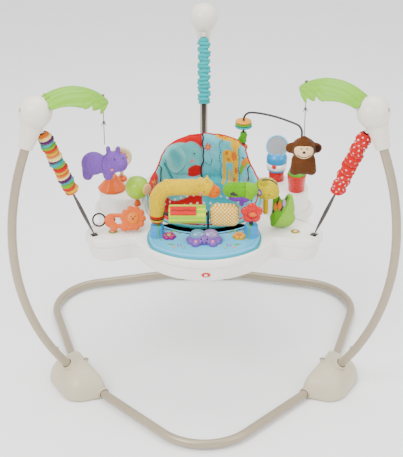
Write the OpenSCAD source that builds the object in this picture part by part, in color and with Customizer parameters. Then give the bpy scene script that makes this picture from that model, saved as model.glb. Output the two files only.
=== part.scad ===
// Activity jumper: a three-legged tube frame that carries a toy tray on springs,
// with a seat that turns in the middle of the tray.
// Millimetres, +Z up. The floor is z = 0 and the child faces -Y.

/* [Frame] */
// Outside radius of the frame tubes
tube_r = 11; // [9:0.5:12]
// Wall of the frame tubes
tube_wall = 1.2; // [1:0.1:2]
// Radius of the bowed uprights, to the tube's centre line
upright_bow_r = 637; // [620:1:650]
// Height of the widest point of the uprights
upright_bow_z = 449; // [440:1:460]
// Distance from the middle of the frame to the widest point of the uprights
upright_reach = 528.4; // [520:0.5:540]
// Distance from the middle of the frame to the base tubes inside the feet
foot_line_r = 349; // [345:1:355]
// Distance from the middle of the frame to the nose of each base loop
loop_nose_r = 461; // [450:1:470]
// Radius of the ball at the top of each upright
hub_r = 39.5; // [36:0.5:42]

/* [Tray] */
// Height of the tray's deck
deck_z = 424; // [420:1:430]
// Thickness of the tray's moulded wall
wall = 4; // [3:0.5:5]
// Depth of the skirt below the deck
skirt_h = 59; // [50:1:64]
// Radius of the hole that the seat turns in
seat_hole_r = 138; // [136:0.5:140]
// Height of the two raised toy stands above the deck
riser_h = 50; // [40:1:56]

/* [Seat] */
// Height of the seat's back above the deck
back_h = 148; // [120:1:150]
// Depth of the fabric seat below the deck
seat_depth = 184; // [150:1:200]

/* [Springs] */
// Length of the spring covers
cover_l = 190; // [180:1:196]
// Outside radius of the spring covers
cover_r = 20; // [18:0.5:22]

/* [Hidden] */
$fn = 64;

// Colours
TAUPE = "#bdb09c";
BEIGE = "#d5cbb5";
CREAM = "#ece7de";
WHITE = "#f3f0ea";
GREEN = "#9ccb5a";
SKY = "#8fd3ef";
RED = "#e23a22";
YELLOW = "#f7cf4f";
ORANGE = "#f28a2c";
PURPLE = "#8d6cb3";
LIME = "#b7d51f";
BROWN = "#6f4a35";
DARK = "#3a2f2c";
STEEL = "#b9bcc0";

// The three legs, by the direction that they stand in
LEFT = 210;
RIGHT = 330;
REAR = 90;
SIDES = [LEFT, RIGHT, REAR];

// The frame's centre lies behind the middle of the whole object's box
centre_y = (loop_nose_r - upright_reach) / 2;

// Upright: a bow in the radial plane, then a straight end inside the hub
bow_x = upright_reach - upright_bow_r;
stub_from = -41;
joint_at = -32.2;
button_at = -30.6;
stub_to = -25;
bow_to = 20;
straight_l = 122.5;
straight_used = 100;
bore_r = tube_r - tube_wall;
stub_neck_r = bore_r - 0.1;
bow_end = [bow_x + upright_bow_r * cos(bow_to), upright_bow_z + upright_bow_r * sin(bow_to)];
hub_at = [bow_end[0] - straight_l * sin(bow_to), 0, bow_end[1] + straight_l * cos(bow_to)];
neck_l = 88;
button_r = 4;
button_out = 2.5;

// Base loop: straight in the foot, a slight turn, a straight side and a round nose
base_z = 17;
loop_turn = 14;
loop_turn_r = 80;
loop_nose_bend = 140;
function along(a) = [cos(a), sin(a)];
function right_of(a) = [sin(a), -cos(a)];
loop_gap = [loop_nose_r, 0] - foot_line_r * along(60)
    - loop_turn_r * (right_of(-30) - right_of(-30 - loop_turn))
    - loop_nose_bend * (right_of(-30 - loop_turn) - right_of(-90));
loop_det = along(-30)[0] * along(-30 - loop_turn)[1] - along(-30)[1] * along(-30 - loop_turn)[0];
loop_foot_l = (loop_gap[0] * along(-30 - loop_turn)[1] - loop_gap[1] * along(-30 - loop_turn)[0]) / loop_det;
loop_side_l = (along(-30)[0] * loop_gap[1] - along(-30)[1] * loop_gap[0]) / loop_det;
butt_gap = 2;

// Foot housing
foot_half_l = 92;
pad_h = 3;
pad_r = 12;
pad_spots = [[352, -62], [352, 62], [418, 0]];

// Springs hang from the hubs and their straps end on the tray's arms
spring_top = [436, 0, 732];
strap_end = [318, 0, 436];
spring_line = spring_top - strap_end;
spring_tilt = atan(spring_line[0] / spring_line[2]);
spring_l = norm(spring_line);
coil_r = 9;
coil_wire_r = 1.5;
coil_turns = 16;
coil_from = 8;
coil_to = cover_l - 10;

// Tray plan
core_r = 232;
front_lobe_y = -107;
front_lobe_r = 185;
arm_reach = 280;
arm_r = 54;
riser_at = [205, 10];
riser_r = 78;
seat_clear_r = 157;
collar_h = 30;

// Front panel
panel_h = 12;
panel_z = deck_z + panel_h;
panel_at = [0, -170];
panel_r = 142;
post_x = 115;
post_y = -176;
post_r = 16;
post_top = 466;

// Light-up hippo button and the two flower buttons
hippo_at = [0, -206];
hippo_half = 22;
hippo_r = 25;
flower_at = [82, -192];
flower_r = 16;
button_gap = 0.5;

// Giraffe arch and its roller
giraffe_y = -176;
giraffe_r = 20;
drum_y = -184;
drum_z = 498;
drum_r = 23;
drum_from = -86;
drum_to = 4;
axle_r = 4;
spinner_z = 506;
spinner_y = -190;

// Bead wire: up from the deck, over an arch and down to the right stand
wire_r = 3;
wire_from = [104, 150];
wire_to = [250, 52];
wire_span = norm(wire_to - wire_from);
wire_dir = atan2(wire_to[1] - wire_from[1], wire_to[0] - wire_from[0]);
wire_top_z = 600;
wire_bend_r = 28;
wire_end_r = 20;
wire_tilt = 10;
wire_arch_r = (wire_span - (wire_bend_r + wire_end_r) * (1 - sin(wire_tilt))) / (2 * sin(wire_tilt));
wire_end_z = wire_top_z + (wire_bend_r - wire_end_r) * cos(wire_tilt);
bead_bore_r = 3.4;

// Hanging toys
leaf_tip_r = 276;
cord_r = 1;
cord_top_left = 783;
cord_top_right = 818;
knot_below = 64;
hippo_top = 662;
monkey_top = 682;

// Seat
seat_wall = 6;
ring_in_r = 130;
ring_flange_r = 150;
ring_h = 7;
ring_gap = 0.3;
ring_fit = 0.08;
pad_r_out = ring_in_r - 0.5;
seat_bottom = deck_z - seat_depth;
seat_pad_r = 148;
back_span = 112;

// ---------------------------------------------------------------- helpers

module at_axis() {
    translate([0, centre_y, 0]) children();
}

// Local +X points outward along the leg's direction
module at_side(direction) {
    at_axis() rotate(direction) children();
}

module tube_section(r, bore) {
    difference() {
        circle(r);
        if (bore > 0) circle(bore);
    }
}

// Steps are [length] for a straight run and [radius, angle] for a turn to the right
module tube_path(steps, r, bore = 0, i = 0) {
    if (i < len(steps)) {
        step = steps[i];
        if (len(step) == 1) {
            rotate([0, 90, 0]) linear_extrude(step[0]) tube_section(r, bore);
            translate([step[0], 0, 0]) tube_path(steps, r, bore, i + 1);
        } else {
            translate([0, -step[0], 0])
                rotate_extrude(angle = step[1], start = 90 - step[1])
                    translate([step[0], 0]) tube_section(r, bore);
            translate([step[0] * sin(step[1]), step[0] * (cos(step[1]) - 1), 0])
                rotate(-step[1]) tube_path(steps, r, bore, i + 1);
        }
    }
}

// A stretch of the uprights' bow, between two angles above the horizontal
module bow(from, to, r, bore = 0) {
    translate([bow_x, 0, upright_bow_z]) rotate([90, 0, 0])
        rotate_extrude(angle = to - from, start = from)
            translate([upright_bow_r, 0]) tube_section(r, bore);
}

// Places children on the bow, with local +X pointing outward
module on_bow(angle) {
    translate([bow_x, 0, upright_bow_z]) rotate([0, -angle, 0])
        translate([upright_bow_r, 0, 0]) children();
}

module rod_x(l, r) {
    rotate([0, 90, 0]) cylinder(h = l, r = r);
}

module rod_y(l, r) {
    rotate([-90, 0, 0]) cylinder(h = l, r = r);
}

// An upright slab with round ends, as wide as 2 * (half + r)
module slot_plan(half, r) {
    translate([-half, -r]) square([2 * half, 2 * r]);
    for (s = [-1, 1]) translate([s * half, 0]) circle(r);
}

// ---------------------------------------------------------------- frame

module foot(direction) {
    color(BEIGE) at_side(direction) difference() {
        hull($fn = 32) {
            for (s = [-1, 1]) {
                translate([foot_line_r + 2, s * (foot_half_l - 14), pad_h]) cylinder(h = 26, r = 14);
                translate([390, s * 34, pad_h]) cylinder(h = 8, r = 48);
                translate([368, s * 36, 38]) sphere(26);
            }
            translate([376, 0, 38]) sphere(32);
        }
        translate([foot_line_r, -foot_half_l - 1, base_z]) rod_y(2 * foot_half_l + 2, tube_r + 0.1);
        bow(stub_from - 0.2, joint_at, tube_r + 0.1);
        for (p = pad_spots) translate([p[0], p[1], 0]) cylinder(h = pad_h + 3, r = pad_r + 0.1);
        translate([354, 0, 45]) cylinder(h = 40, r = 5);
    }
}

module base_tube(direction) {
    color(TAUPE) at_axis() rotate(direction) translate([0, 0, base_z])
        for (m = [0, 1]) mirror([0, m, 0])
            translate([foot_line_r * cos(60), foot_line_r * sin(60), 0])
                rotate(-30) translate([butt_gap, 0, 0])
                    tube_path([[loop_foot_l - butt_gap], [loop_turn_r, loop_turn], [loop_side_l],
                        [loop_nose_bend, 60 - loop_turn]], tube_r, bore_r);
}

module leg_stubs() {
    color(TAUPE) for (side = SIDES) at_side(side) difference() {
        union() {
            bow(stub_from, joint_at, tube_r, bore_r - 2);
            bow(joint_at, stub_to, stub_neck_r, bore_r - 2);
        }
        on_bow(button_at) translate([-tube_r - 1, 0, 0]) rod_x(tube_r, button_r + 0.05);
    }
}

module upright(direction) {
    color(TAUPE) at_side(direction) difference() {
        union() {
            bow(joint_at, bow_to, tube_r, bore_r);
            translate([bow_end[0], 0, bow_end[1]]) rotate([0, -bow_to, 0])
                linear_extrude(straight_used) tube_section(tube_r, bore_r);
        }
        on_bow(button_at) translate([-tube_r - 1, 0, 0]) rod_x(tube_r, button_r + 0.05);
    }
}

module snap_button(direction) {
    color(STEEL) at_side(direction) on_bow(button_at)
        translate([-tube_r - button_out, 0, 0]) {
            translate([1.5, 0, 0]) rod_x(5, button_r);
            rotate([0, 90, 0]) cylinder(h = 1.5, r1 = button_r - 1.5, r2 = button_r);
        }
}

module hub(direction) {
    color(CREAM) at_side(direction) difference() {
        union() {
            translate(hub_at) sphere(hub_r);
            translate(hub_at) rotate([0, -bow_to, 0]) translate([0, 0, -neck_l])
                cylinder(h = neck_l - 20, r1 = 17, r2 = 27);
            translate(spring_top) rotate([0, spring_tilt, 0]) translate([0, 0, -3])
                cylinder(h = 30, r = 6);
        }
        translate([bow_end[0], 0, bow_end[1]]) rotate([0, -bow_to, 0])
            cylinder(h = straight_used + 0.5, r = tube_r + 0.1);
        translate(hub_at) rotate([0, -40, 0]) translate([0, 0, hub_r - 6])
            linear_extrude(10) square([4.4, 26.4], center = true);
        translate(hub_at) rotate([0, 90 - bow_to, 0]) translate([0, 0, hub_r - 3]) cylinder(h = 6, r = 4.1);
    }
}

// The leaf is an arched plate that points at the middle of the frame
module leaf(direction, droop) {
    leaf_bend_r = 134;
    leaf_t = 3;
    leaf_mid = [346, 0, 708];
    leaf_root = [430, 0, 812];
    color(GREEN) at_side(direction) {
        difference() {
            translate(leaf_root) rotate([0, droop, 0]) translate(-leaf_root) intersection() {
                translate(leaf_mid) rotate([90, 0, 0])
                    rotate_extrude(angle = 86, start = 50)
                        translate([leaf_bend_r - leaf_t, -48]) square([leaf_t, 96]);
                translate([0, 0, 700]) linear_extrude(160) union() {
                    translate([345, 0]) circle(48);
                    translate([372, -36]) square([58, 72]);
                    polygon([[262, -8], [262, 8], [320, 42], [350, 42], [350, -42], [320, -42]]);
                }
            }
            translate(hub_at) sphere(hub_r + 0.2);
        }
        translate(hub_at) rotate([0, -40, 0]) translate([0, 0, hub_r - 5.9])
            linear_extrude(12) square([4, 26], center = true);
    }
}

module foot_pads() {
    color(DARK) for (side = SIDES, p = pad_spots) at_side(side)
        translate([p[0], p[1], 0]) cylinder(h = pad_h + 3, r = pad_r);
}

module frame_screws() {
    screw_h = 7;
    color(STEEL) for (side = SIDES) at_side(side) {
        translate([354, 0, 45]) cylinder(h = screw_h, r = 4);
        translate(hub_at) rotate([0, 90 - bow_to, 0]) translate([0, 0, hub_r - 3]) cylinder(h = 3, r = 4);
    }
}

// ---------------------------------------------------------------- springs

module at_spring() {
    translate(spring_top) rotate([0, spring_tilt, 0]) children();
}

// Skin of a rod given as rings of points, each ring with the same number of corners
module ring_skin(points, corners) {
    rings = len(points) / corners;
    sides = [for (i = [0:rings - 2], c = [0:corners - 1]) let (a = i * corners + c,
        b = i * corners + (c + 1) % corners) each [[a, b, b + corners], [a, b + corners, a + corners]]];
    polyhedron(points, concat(sides, [[for (c = [corners - 1:-1:0]) c]],
        [[for (c = [0:corners - 1]) (rings - 1) * corners + c]]));
}

module coil(from, to, turns, r, wire) {
    steps = turns * 9;
    corners = 4;
    ring_skin([for (i = [0:steps]) let (a = i * 360 * turns / steps, z = from + (to - from) * i / steps)
        for (c = [0:corners - 1]) let (b = c * 360 / corners)
            [(r + wire * cos(b)) * cos(a), (r + wire * cos(b)) * sin(a), z + wire * sin(b)]], corners);
}

module coil_springs() {
    color(STEEL) for (side = SIDES) at_side(side) at_spring()
        coil(-coil_to, -coil_from, coil_turns, coil_r, coil_wire_r);
}

module spring_covers() {
    sleeve_wall = 5;
    color(RED) for (side = SIDES) at_side(side) at_spring()
        translate([0, 0, -cover_l]) rotate_extrude()
            polygon([[cover_r - sleeve_wall, 0], [cover_r - 2, 0], [cover_r, 8], [cover_r, cover_l - 26],
                [14, cover_l - 5], [11.5, cover_l - 5], [cover_r - sleeve_wall, cover_l - 26]]);
}

module straps() {
    strap_w = 12;
    strap_t = 2.5;
    below = 26;
    color(DARK) for (side = SIDES) at_side(side) at_spring() {
        translate([-strap_t / 2, -strap_w / 2, -spring_l - below])
            cube([strap_t, strap_w, spring_l + below - cover_l + 4]);
        translate([-6, -10, -spring_l - below - 4]) cube([12, 20, 4]);
    }
}

// ---------------------------------------------------------------- tray

module riser_plan(inset) {
    difference() {
        translate(riser_at) circle(riser_r - inset);
        circle(seat_clear_r + inset);
    }
}

module tray_plan(inset) {
    circle(core_r - inset);
    translate([0, front_lobe_y]) circle(front_lobe_r - inset);
    for (side = SIDES) rotate(side) {
        translate([0, inset - arm_r]) square([arm_reach, 2 * (arm_r - inset)]);
        translate([arm_reach, 0]) circle(arm_r - inset);
    }
    for (m = [0, 1]) mirror([m, 0]) translate(riser_at) circle(riser_r - inset);
}

module tray_shell() {
    color(WHITE) at_axis() difference() {
        union() {
            translate([0, 0, deck_z - wall]) linear_extrude(wall) tray_plan(0);
            translate([0, 0, deck_z - skirt_h]) linear_extrude(skirt_h - wall) difference() {
                tray_plan(0);
                tray_plan(wall);
            }
            for (m = [0, 1]) mirror([m, 0, 0]) {
                translate([0, 0, deck_z]) linear_extrude(riser_h - wall) difference() {
                    riser_plan(0);
                    riser_plan(wall);
                }
                translate([0, 0, deck_z + riser_h - wall]) linear_extrude(wall) riser_plan(0);
            }
            translate([0, 0, deck_z - collar_h]) cylinder(h = collar_h, r = seat_hole_r + wall);
        }
        translate([0, 0, deck_z - collar_h - 1]) cylinder(h = collar_h + 2, r = seat_hole_r);
        for (side = SIDES) rotate(side) translate([strap_end[0] - 5, 0, deck_z])
            cube([12, 14, 3 * wall], center = true);
        translate([hippo_at[0], hippo_at[1], deck_z - wall - 1]) cylinder(h = wall + 2, r = 8);
        for (s = [-1, 1]) translate([s * flower_at[0], flower_at[1], deck_z - wall - 1])
            cylinder(h = wall + 2, r = 6);
        translate([wire_from[0], wire_from[1], deck_z - wall - 1]) cylinder(h = wall + 2, r = wire_r + 0.1);
    }
}

module front_panel() {
    color(SKY) at_axis() {
        difference() {
            translate([0, 0, deck_z]) linear_extrude(panel_h) difference() {
                intersection() {
                    translate([0, front_lobe_y]) circle(front_lobe_r - 6);
                    translate(panel_at) circle(panel_r);
                }
                circle(seat_clear_r);
            }
            translate([hippo_at[0], hippo_at[1], deck_z + 3]) linear_extrude(panel_h)
                slot_plan(hippo_half, hippo_r + button_gap);
            translate([hippo_at[0], hippo_at[1], deck_z - 1]) cylinder(h = 6, r = 8);
            for (s = [-1, 1]) translate([s * flower_at[0], flower_at[1], deck_z]) {
                translate([0, 0, 3]) cylinder(h = panel_h, r = flower_r + button_gap);
                translate([0, 0, -1]) cylinder(h = 6, r = 6);
            }
        }
        for (s = [-1, 1]) translate([s * post_x, post_y, panel_z - 0.01])
            cylinder(h = post_top - panel_z + 0.01, r1 = post_r + 3, r2 = post_r);
    }
}

module hippo_button() {
    button_h = 12;
    color(PURPLE) at_axis() translate([hippo_at[0], hippo_at[1], deck_z + 8]) {
        linear_extrude(button_h) slot_plan(hippo_half, hippo_r);
        translate([0, 0, -16]) cylinder(h = 17, r = 7.7);
    }
}

module hippo_dome() {
    color("#cdbfe2") at_axis() translate([hippo_at[0], hippo_at[1], deck_z + 20]) intersection() {
        translate([0, 0, -18]) sphere(38);
        linear_extrude(30) slot_plan(hippo_half - 8, hippo_r - 2);
    }
}

module flower_button(s) {
    color(s < 0 ? "#b0246b" : YELLOW) at_axis()
        translate([s * flower_at[0], flower_at[1], deck_z + 7]) {
            cylinder(h = 10, r = flower_r);
            translate([0, 0, 10]) intersection() {
                translate([0, 0, -52]) sphere(55);
                cylinder(h = 8, r = flower_r - 2);
            }
            translate([0, 0, -14]) cylinder(h = 15, r = 5.7);
        }
}

box_w = 116;
box_d = 64;
box_h = 40;
box_y = -206;
box_top = deck_z - wall - 14;
box_wall = 2.5;
module battery_box() {
    color(WHITE) at_axis() translate([-box_w / 2, box_y - box_d / 2, box_top - box_h]) difference() {
        cube([box_w, box_d, box_h]);
        translate([box_wall, box_wall, -1])
            cube([box_w - 2 * box_wall, box_d - 2 * box_wall, box_h - box_wall + 1]);
        translate([box_w / 2, box_d / 2, box_h - box_wall - 1]) cylinder(h = 10, r = 9);
    }
    color(WHITE) at_axis() for (x = [-box_w / 2 + 6, box_w / 2 - 6], y = [-1, 1])
        translate([x, box_y + y * (box_d / 2 - 6), box_top - 0.01]) cylinder(h = 14.01, r = 5);
}

module battery_door() {
    color(WHITE) at_axis() difference() {
        translate([-box_w / 2, box_y - box_d / 2, box_top - box_h - 3]) cube([box_w, box_d, 3]);
        translate([36, box_y + 22, box_top - box_h - 4]) cube([18, 6, 5]);
    }
}

module batteries() {
    color("#8a8f96") at_axis() for (i = [-1, 0, 1])
        translate([-52, box_y + i * 19, box_top - box_h + 10]) {
            rod_x(46, 9);
            translate([46, 0, 0]) rod_x(2, 3);
        }
}

module electronics() {
    color("#3f7f4f") at_axis() translate([2, box_y - 28, box_top - box_h + 14]) cube([50, 40, 1.6]);
    color(DARK) at_axis() translate([27, box_y - 8, box_top - box_h + 15.6]) {
        cylinder(h = 4, r = 17);
        translate([0, 0, 4]) cylinder(h = 5, r1 = 17, r2 = 12);
    }
}

module power_switch() {
    color(DARK) at_axis() translate([41, box_y + 22.3, box_top - box_h - 6]) cube([8, 5.4, 9]);
}

// ---------------------------------------------------------------- toys at the front

module giraffe_arch() {
    leg_x = -post_x;
    shoulder = [leg_x + 10, giraffe_y, post_top + 98];
    head_at = [4, giraffe_y, post_top + 100];
    color(YELLOW) at_axis() difference() {
        union() {
            hull($fn = 32) {
                translate([leg_x, giraffe_y, post_top]) cylinder(h = 60, r = giraffe_r - 1);
                translate(shoulder) sphere(giraffe_r - 1);
            }
            hull($fn = 32) {
                translate(shoulder) sphere(giraffe_r);
                translate(head_at) sphere(giraffe_r + 2);
            }
            translate(head_at + [20, 0, -12]) sphere(giraffe_r - 2, $fn = 32);
        }
        translate([leg_x + 12, drum_y, drum_z]) rod_x(20, axle_r);
    }
}

module drum_axle() {
    bracket_x = drum_to + 3;
    color(DARK) at_axis() {
        translate([-post_x + 12, drum_y, drum_z]) rod_x(bracket_x + post_x - 11, axle_r);
        translate([bracket_x, drum_y + 5, panel_z]) cube([5, 9, drum_z - panel_z]);
        translate([bracket_x, drum_y, drum_z]) rod_x(5, 8);
        translate([post_x, post_y, post_top]) cylinder(h = spinner_z - post_top + 5, r = 5);
        translate([post_x, spinner_y - 8, spinner_z]) rod_y(post_y - spinner_y + 8, 3);
    }
}

module roller_drum() {
    color(LIME) at_axis() difference() {
        translate([drum_from, drum_y, drum_z]) rod_x(drum_to - drum_from, drum_r);
        translate([drum_from - 1, drum_y, drum_z]) rod_x(drum_to - drum_from + 2, axle_r + 0.06);
        translate([drum_from - 1, drum_y, drum_z]) rotate([45, 0, 0])
            translate([4, -4, drum_r - 4]) cube([64, 8, 10]);
    }
}

module drum_paddle() {
    color(RED) at_axis() translate([drum_from - 1, drum_y, drum_z]) rotate([45, 0, 0])
        translate([4.1, -3.9, drum_r - 3.9]) cube([63.8, 7.8, 9.5]);
}

module flower_plan(petals, petal_at, petal_r, centre_r) {
    circle(centre_r);
    for (i = [0:petals - 1]) rotate(i * 360 / petals) translate([petal_at, 0]) circle(petal_r);
}

module flower_spinner() {
    disc_t = 14;
    bore_from = 3;
    color(RED) at_axis() translate([post_x, spinner_y - 12, spinner_z]) rotate([-90, 0, 0]) {
        linear_extrude(bore_from) flower_plan(5, 15, 13, 17);
        translate([0, 0, bore_from]) linear_extrude(disc_t - bore_from) difference() {
            flower_plan(5, 15, 13, 17);
            circle(3.06);
        }
        translate([0, 0, -6]) cylinder(h = 7, r = 9);
    }
}

module dotted_pouch() {
    color("#f2d66a") at_axis() hull($fn = 32) for (x = [28, 70], z = [479, 509])
        translate([x, -181, z]) sphere(15);
}

module crocodile() {
    color("#86b84a") at_axis() hull($fn = 32) {
        for (x = [62, 112]) translate([x, -178, 560]) sphere(19);
        translate([74, -178, 544]) sphere(18);
    }
}

module spotted_head() {
    color("#f0dc6c") at_axis() {
        translate([152, -132, 541]) sphere(30);
        translate([152, -132, deck_z]) cylinder(h = 92, r = 7);
    }
}

module leaf_bag() {
    color("#8cc152") at_axis() hull($fn = 32) {
        translate([195, -118, 452]) scale([1, 0.6, 0.8]) sphere(34);
        for (s = [-1, 1]) translate([195 + s * 16, -112, 512]) sphere(12);
    }
}

module lion_plan() {
    circle(26);
    for (i = [0:9]) rotate(i * 36) translate([24, 0]) circle(8);
    translate([-34, -6]) slot_plan(20, 18);
    for (x = [-48, -22]) translate([x, -24]) circle(9);
}

lion_at = [-176, -128, 456];
lion_tilt = 58;
module lion_teether() {
    color(ORANGE) at_axis() translate(lion_at) rotate([lion_tilt, 0, 0]) linear_extrude(11) difference() {
        lion_plan();
        translate([-38, -2]) circle(9);
    }
}

module teether_strap() {
    loop_r = 17;
    loop_at = [-84.5, -4];
    color(DARK) at_axis() translate(lion_at) rotate([lion_tilt, 0, 0]) translate([0, 0, 2])
        linear_extrude(7) difference() {
            union() {
                translate(loop_at) circle(loop_r);
                translate(loop_at + [0, -6]) square([22, 12]);
            }
            translate(loop_at) circle(loop_r - 3);
            lion_plan();
        }
}

// ---------------------------------------------------------------- toys at the sides

ball_at = [-167, -88, 521];
module lime_ball() {
    color(LIME) at_axis() translate(ball_at) difference() {
        sphere(30);
        translate([0, 0, -31]) cylinder(h = 24, r = 4.06);
    }
}

disc_at = [-214, 52, 540];
module disc_base() {
    riser_top = deck_z + riser_h;
    color(ORANGE) at_axis() {
        translate([-236, 2, riser_top]) cylinder(h = 40, r1 = 36, r2 = 12);
        translate([ball_at[0], ball_at[1], deck_z]) cylinder(h = 80, r = 4);
        translate([ball_at[0], ball_at[1], deck_z]) cylinder(h = 64, r = 9);
        translate([disc_at[0], disc_at[1], riser_top]) cylinder(h = 10, r = 14);
    }
}

module cream_disc() {
    stalk_z = deck_z + riser_h + 12.3;
    color("#eadfc0") at_axis() {
        translate([disc_at[0], disc_at[1] - 6, disc_at[2]]) rod_y(12, 28);
        translate([disc_at[0], disc_at[1], stalk_z]) cylinder(h = disc_at[2] - stalk_z - 20, r = 5);
    }
}

mirror_at = [188, 56];
mirror_z = 502;
module mirror_base() {
    riser_top = deck_z + riser_h;
    color(RED) at_axis() {
        translate([236, -6, riser_top]) cylinder(h = 44, r1 = 20, r2 = 24);
        translate([mirror_at[0], mirror_at[1], riser_top]) {
            cylinder(h = mirror_z - riser_top - 0.3, r = 20);
            cylinder(h = mirror_z - riser_top + 14, r = 5);
        }
    }
    color(GREEN) at_axis() translate([236, -6, riser_top + 44]) cylinder(h = 12, r1 = 18, r2 = 12);
}

module mirror_housing() {
    color("#2f9fd0") at_axis() translate([mirror_at[0], mirror_at[1], mirror_z]) difference() {
        union() {
            cylinder(h = 34, r1 = 24, r2 = 27);
            translate([0, 0, 34]) cylinder(h = 16, r1 = 27, r2 = 16);
            translate([0, 0, 66]) rotate([62, 0, 0]) translate([0, 0, -5]) cylinder(h = 10, r = 29);
        }
        translate([0, 0, -1]) cylinder(h = 16, r = 5.06);
        translate([0, 0, 66]) rotate([62, 0, 0]) translate([0, 0, 3]) cylinder(h = 10, r = 25);
    }
}

module mirror_glass() {
    color("#9aa6a4") at_axis() translate([mirror_at[0], mirror_at[1], mirror_z + 66])
        rotate([62, 0, 0]) translate([0, 0, 3.1]) cylinder(h = 1.8, r = 24.8);
}

// Points of an arc in the wire's plane: [along, height, angle of the radius]
function wire_arc(along, z, r, from, to, count) = [for (i = [0:count]) let (a = from + (to - from) * i / count)
    [along + r * cos(a), z + r * sin(a), a]];

module bead_wire() {
    foot_z = deck_z - 3;
    corners = 8;
    arch_r = wire_r - 0.1;
    path = concat([[0, wire_top_z - 6, 180]], wire_arc(wire_bend_r, wire_top_z, wire_bend_r, 180, 90 + wire_tilt, 8),
        wire_arc(wire_span / 2, wire_top_z - (wire_arch_r - wire_bend_r) * cos(wire_tilt), wire_arch_r,
            90 + wire_tilt - 2, 90 - wire_tilt + 2, 8),
        wire_arc(wire_span - wire_end_r, wire_end_z, wire_end_r, 90 - wire_tilt, 0, 8),
        [[wire_span, deck_z + riser_h, 0]]);
    color(DARK) at_axis() {
        translate([wire_from[0], wire_from[1], 0]) rotate(wire_dir)
            ring_skin([for (p = path) for (c = [0:corners - 1]) let (b = c * 360 / corners)
                [p[0] + arch_r * cos(b) * cos(p[2]), arch_r * sin(b), p[1] + arch_r * cos(b) * sin(p[2])]], corners);
        translate([wire_from[0], wire_from[1], foot_z]) cylinder(h = wire_top_z - foot_z, r = wire_r);
        translate([wire_from[0], wire_from[1], deck_z]) cylinder(h = 8, r = 10);
        for (z = [489, 533, 577]) translate([wire_from[0], wire_from[1], z]) cylinder(h = 4, r = 6);
    }
}

module ring_beads() {
    bead_h = 6;
    color(ORANGE) at_axis() for (i = [0, 1, 2])
        translate([wire_from[0], wire_from[1], 581.3 + i * (bead_h + 0.4)]) rotate_extrude() difference() {
            union() {
                translate([bead_bore_r, 0]) square([23 - i - bead_h / 2 - bead_bore_r, bead_h]);
                translate([23 - i - bead_h / 2, bead_h / 2]) circle(bead_h / 2);
            }
            translate([-30, -1]) square([30, 20]);
        }
}

module leaf_bead() {
    color(GREEN) at_axis() translate([wire_from[0], wire_from[1], 537.3]) difference() {
        union() {
            cylinder(h = 30, r = 9);
            translate([-4, -5, 12]) rotate([0, 35, 0]) scale([1, 0.4, 1.9]) sphere(11);
        }
        translate([0, 0, -20]) cylinder(h = 80, r = bead_bore_r);
    }
}

// ---------------------------------------------------------------- hanging toys

module hang_cord(direction, top, bottom) {
    color(DARK) at_side(direction) translate([leaf_tip_r, 0, bottom]) {
        cylinder(h = top - bottom, r = cord_r);
        translate([0, 0, top - bottom - knot_below]) sphere(2.6);
    }
}

module hippo_toy() {
    color(PURPLE) at_side(LEFT) translate([leaf_tip_r, 0, 0]) rotate(-LEFT) {
        hull($fn = 32) {
            translate([-28, 0, hippo_top - 50]) scale([1, 0.75, 1]) sphere(31);
            translate([22, 0, hippo_top - 46]) scale([1, 0.75, 1]) sphere(27);
        }
        for (x = [-44, 6]) translate([x, 0, hippo_top - 96]) cylinder(h = 24, r = 14);
        for (x = [8, 34]) translate([x, 0, hippo_top - 22]) cylinder(h = 20, r = 6);
    }
}

module monkey_toy() {
    cord_pocket_r = 1.6;
    color(BROWN) at_side(RIGHT) translate([leaf_tip_r, 0, 0]) rotate(-RIGHT) difference() {
        union() {
            translate([0, 0, monkey_top - 30]) sphere(30);
            for (s = [-1, 1]) {
                translate([s * 32, 0, monkey_top - 30]) rod_y(10, 14);
                translate([s * 20, 0, monkey_top - 88]) sphere(14);
            }
            hull($fn = 32) {
                translate([0, 0, monkey_top - 62]) scale([1, 0.8, 0.8]) sphere(26);
                translate([0, 0, monkey_top - 82]) scale([1, 0.8, 0.8]) sphere(24);
            }
        }
        translate([0, 0, monkey_top]) sphere(cord_pocket_r);
    }
}

// ---------------------------------------------------------------- seat

module seat_ring() {
    neck_r = seat_hole_r - ring_fit;
    bottom = deck_z - collar_h;
    color(WHITE) at_axis() rotate_extrude() polygon([
        [ring_in_r, bottom - 8], [neck_r - 1, bottom - 8], [neck_r + 4, bottom - 2], [neck_r, bottom - ring_gap],
        [neck_r, deck_z + ring_gap], [ring_flange_r, deck_z + ring_gap],
        [ring_flange_r, deck_z + ring_h], [ring_in_r, deck_z + ring_h]
    ]);
}

module seat_pad() {
    rim_z = deck_z + ring_h + 0.3;
    leg_hole_r = 42;
    leg_hole_z = seat_bottom + 58;
    color("#7cc7c9") at_axis() difference() {
        union() {
            rotate_extrude() polygon([
                [0, seat_bottom], [70, seat_bottom], [98, seat_bottom + 60], [pad_r_out, deck_z - 44],
                [pad_r_out, rim_z], [seat_pad_r, rim_z], [seat_pad_r, rim_z + 10], [pad_r_out - 4, rim_z + 14],
                [pad_r_out - seat_wall, rim_z], [pad_r_out - seat_wall, deck_z - 42],
                [98 - seat_wall, seat_bottom + 63], [66, seat_bottom + seat_wall], [0, seat_bottom + seat_wall]
            ]);
            rotate_extrude(angle = back_span, start = 90 - back_span / 2) polygon([
                [seat_pad_r - 12, rim_z + 4], [seat_pad_r, rim_z + 4], [seat_pad_r, deck_z + back_h - 8],
                [seat_pad_r - 4, deck_z + back_h], [seat_pad_r - 12, deck_z + back_h]
            ]);
        }
        for (s = [-1, 1]) rotate(270 + s * 42) translate([20, 0, leg_hole_z]) rod_x(150, leg_hole_r);
    }
}

// ---------------------------------------------------------------- assembly

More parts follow.
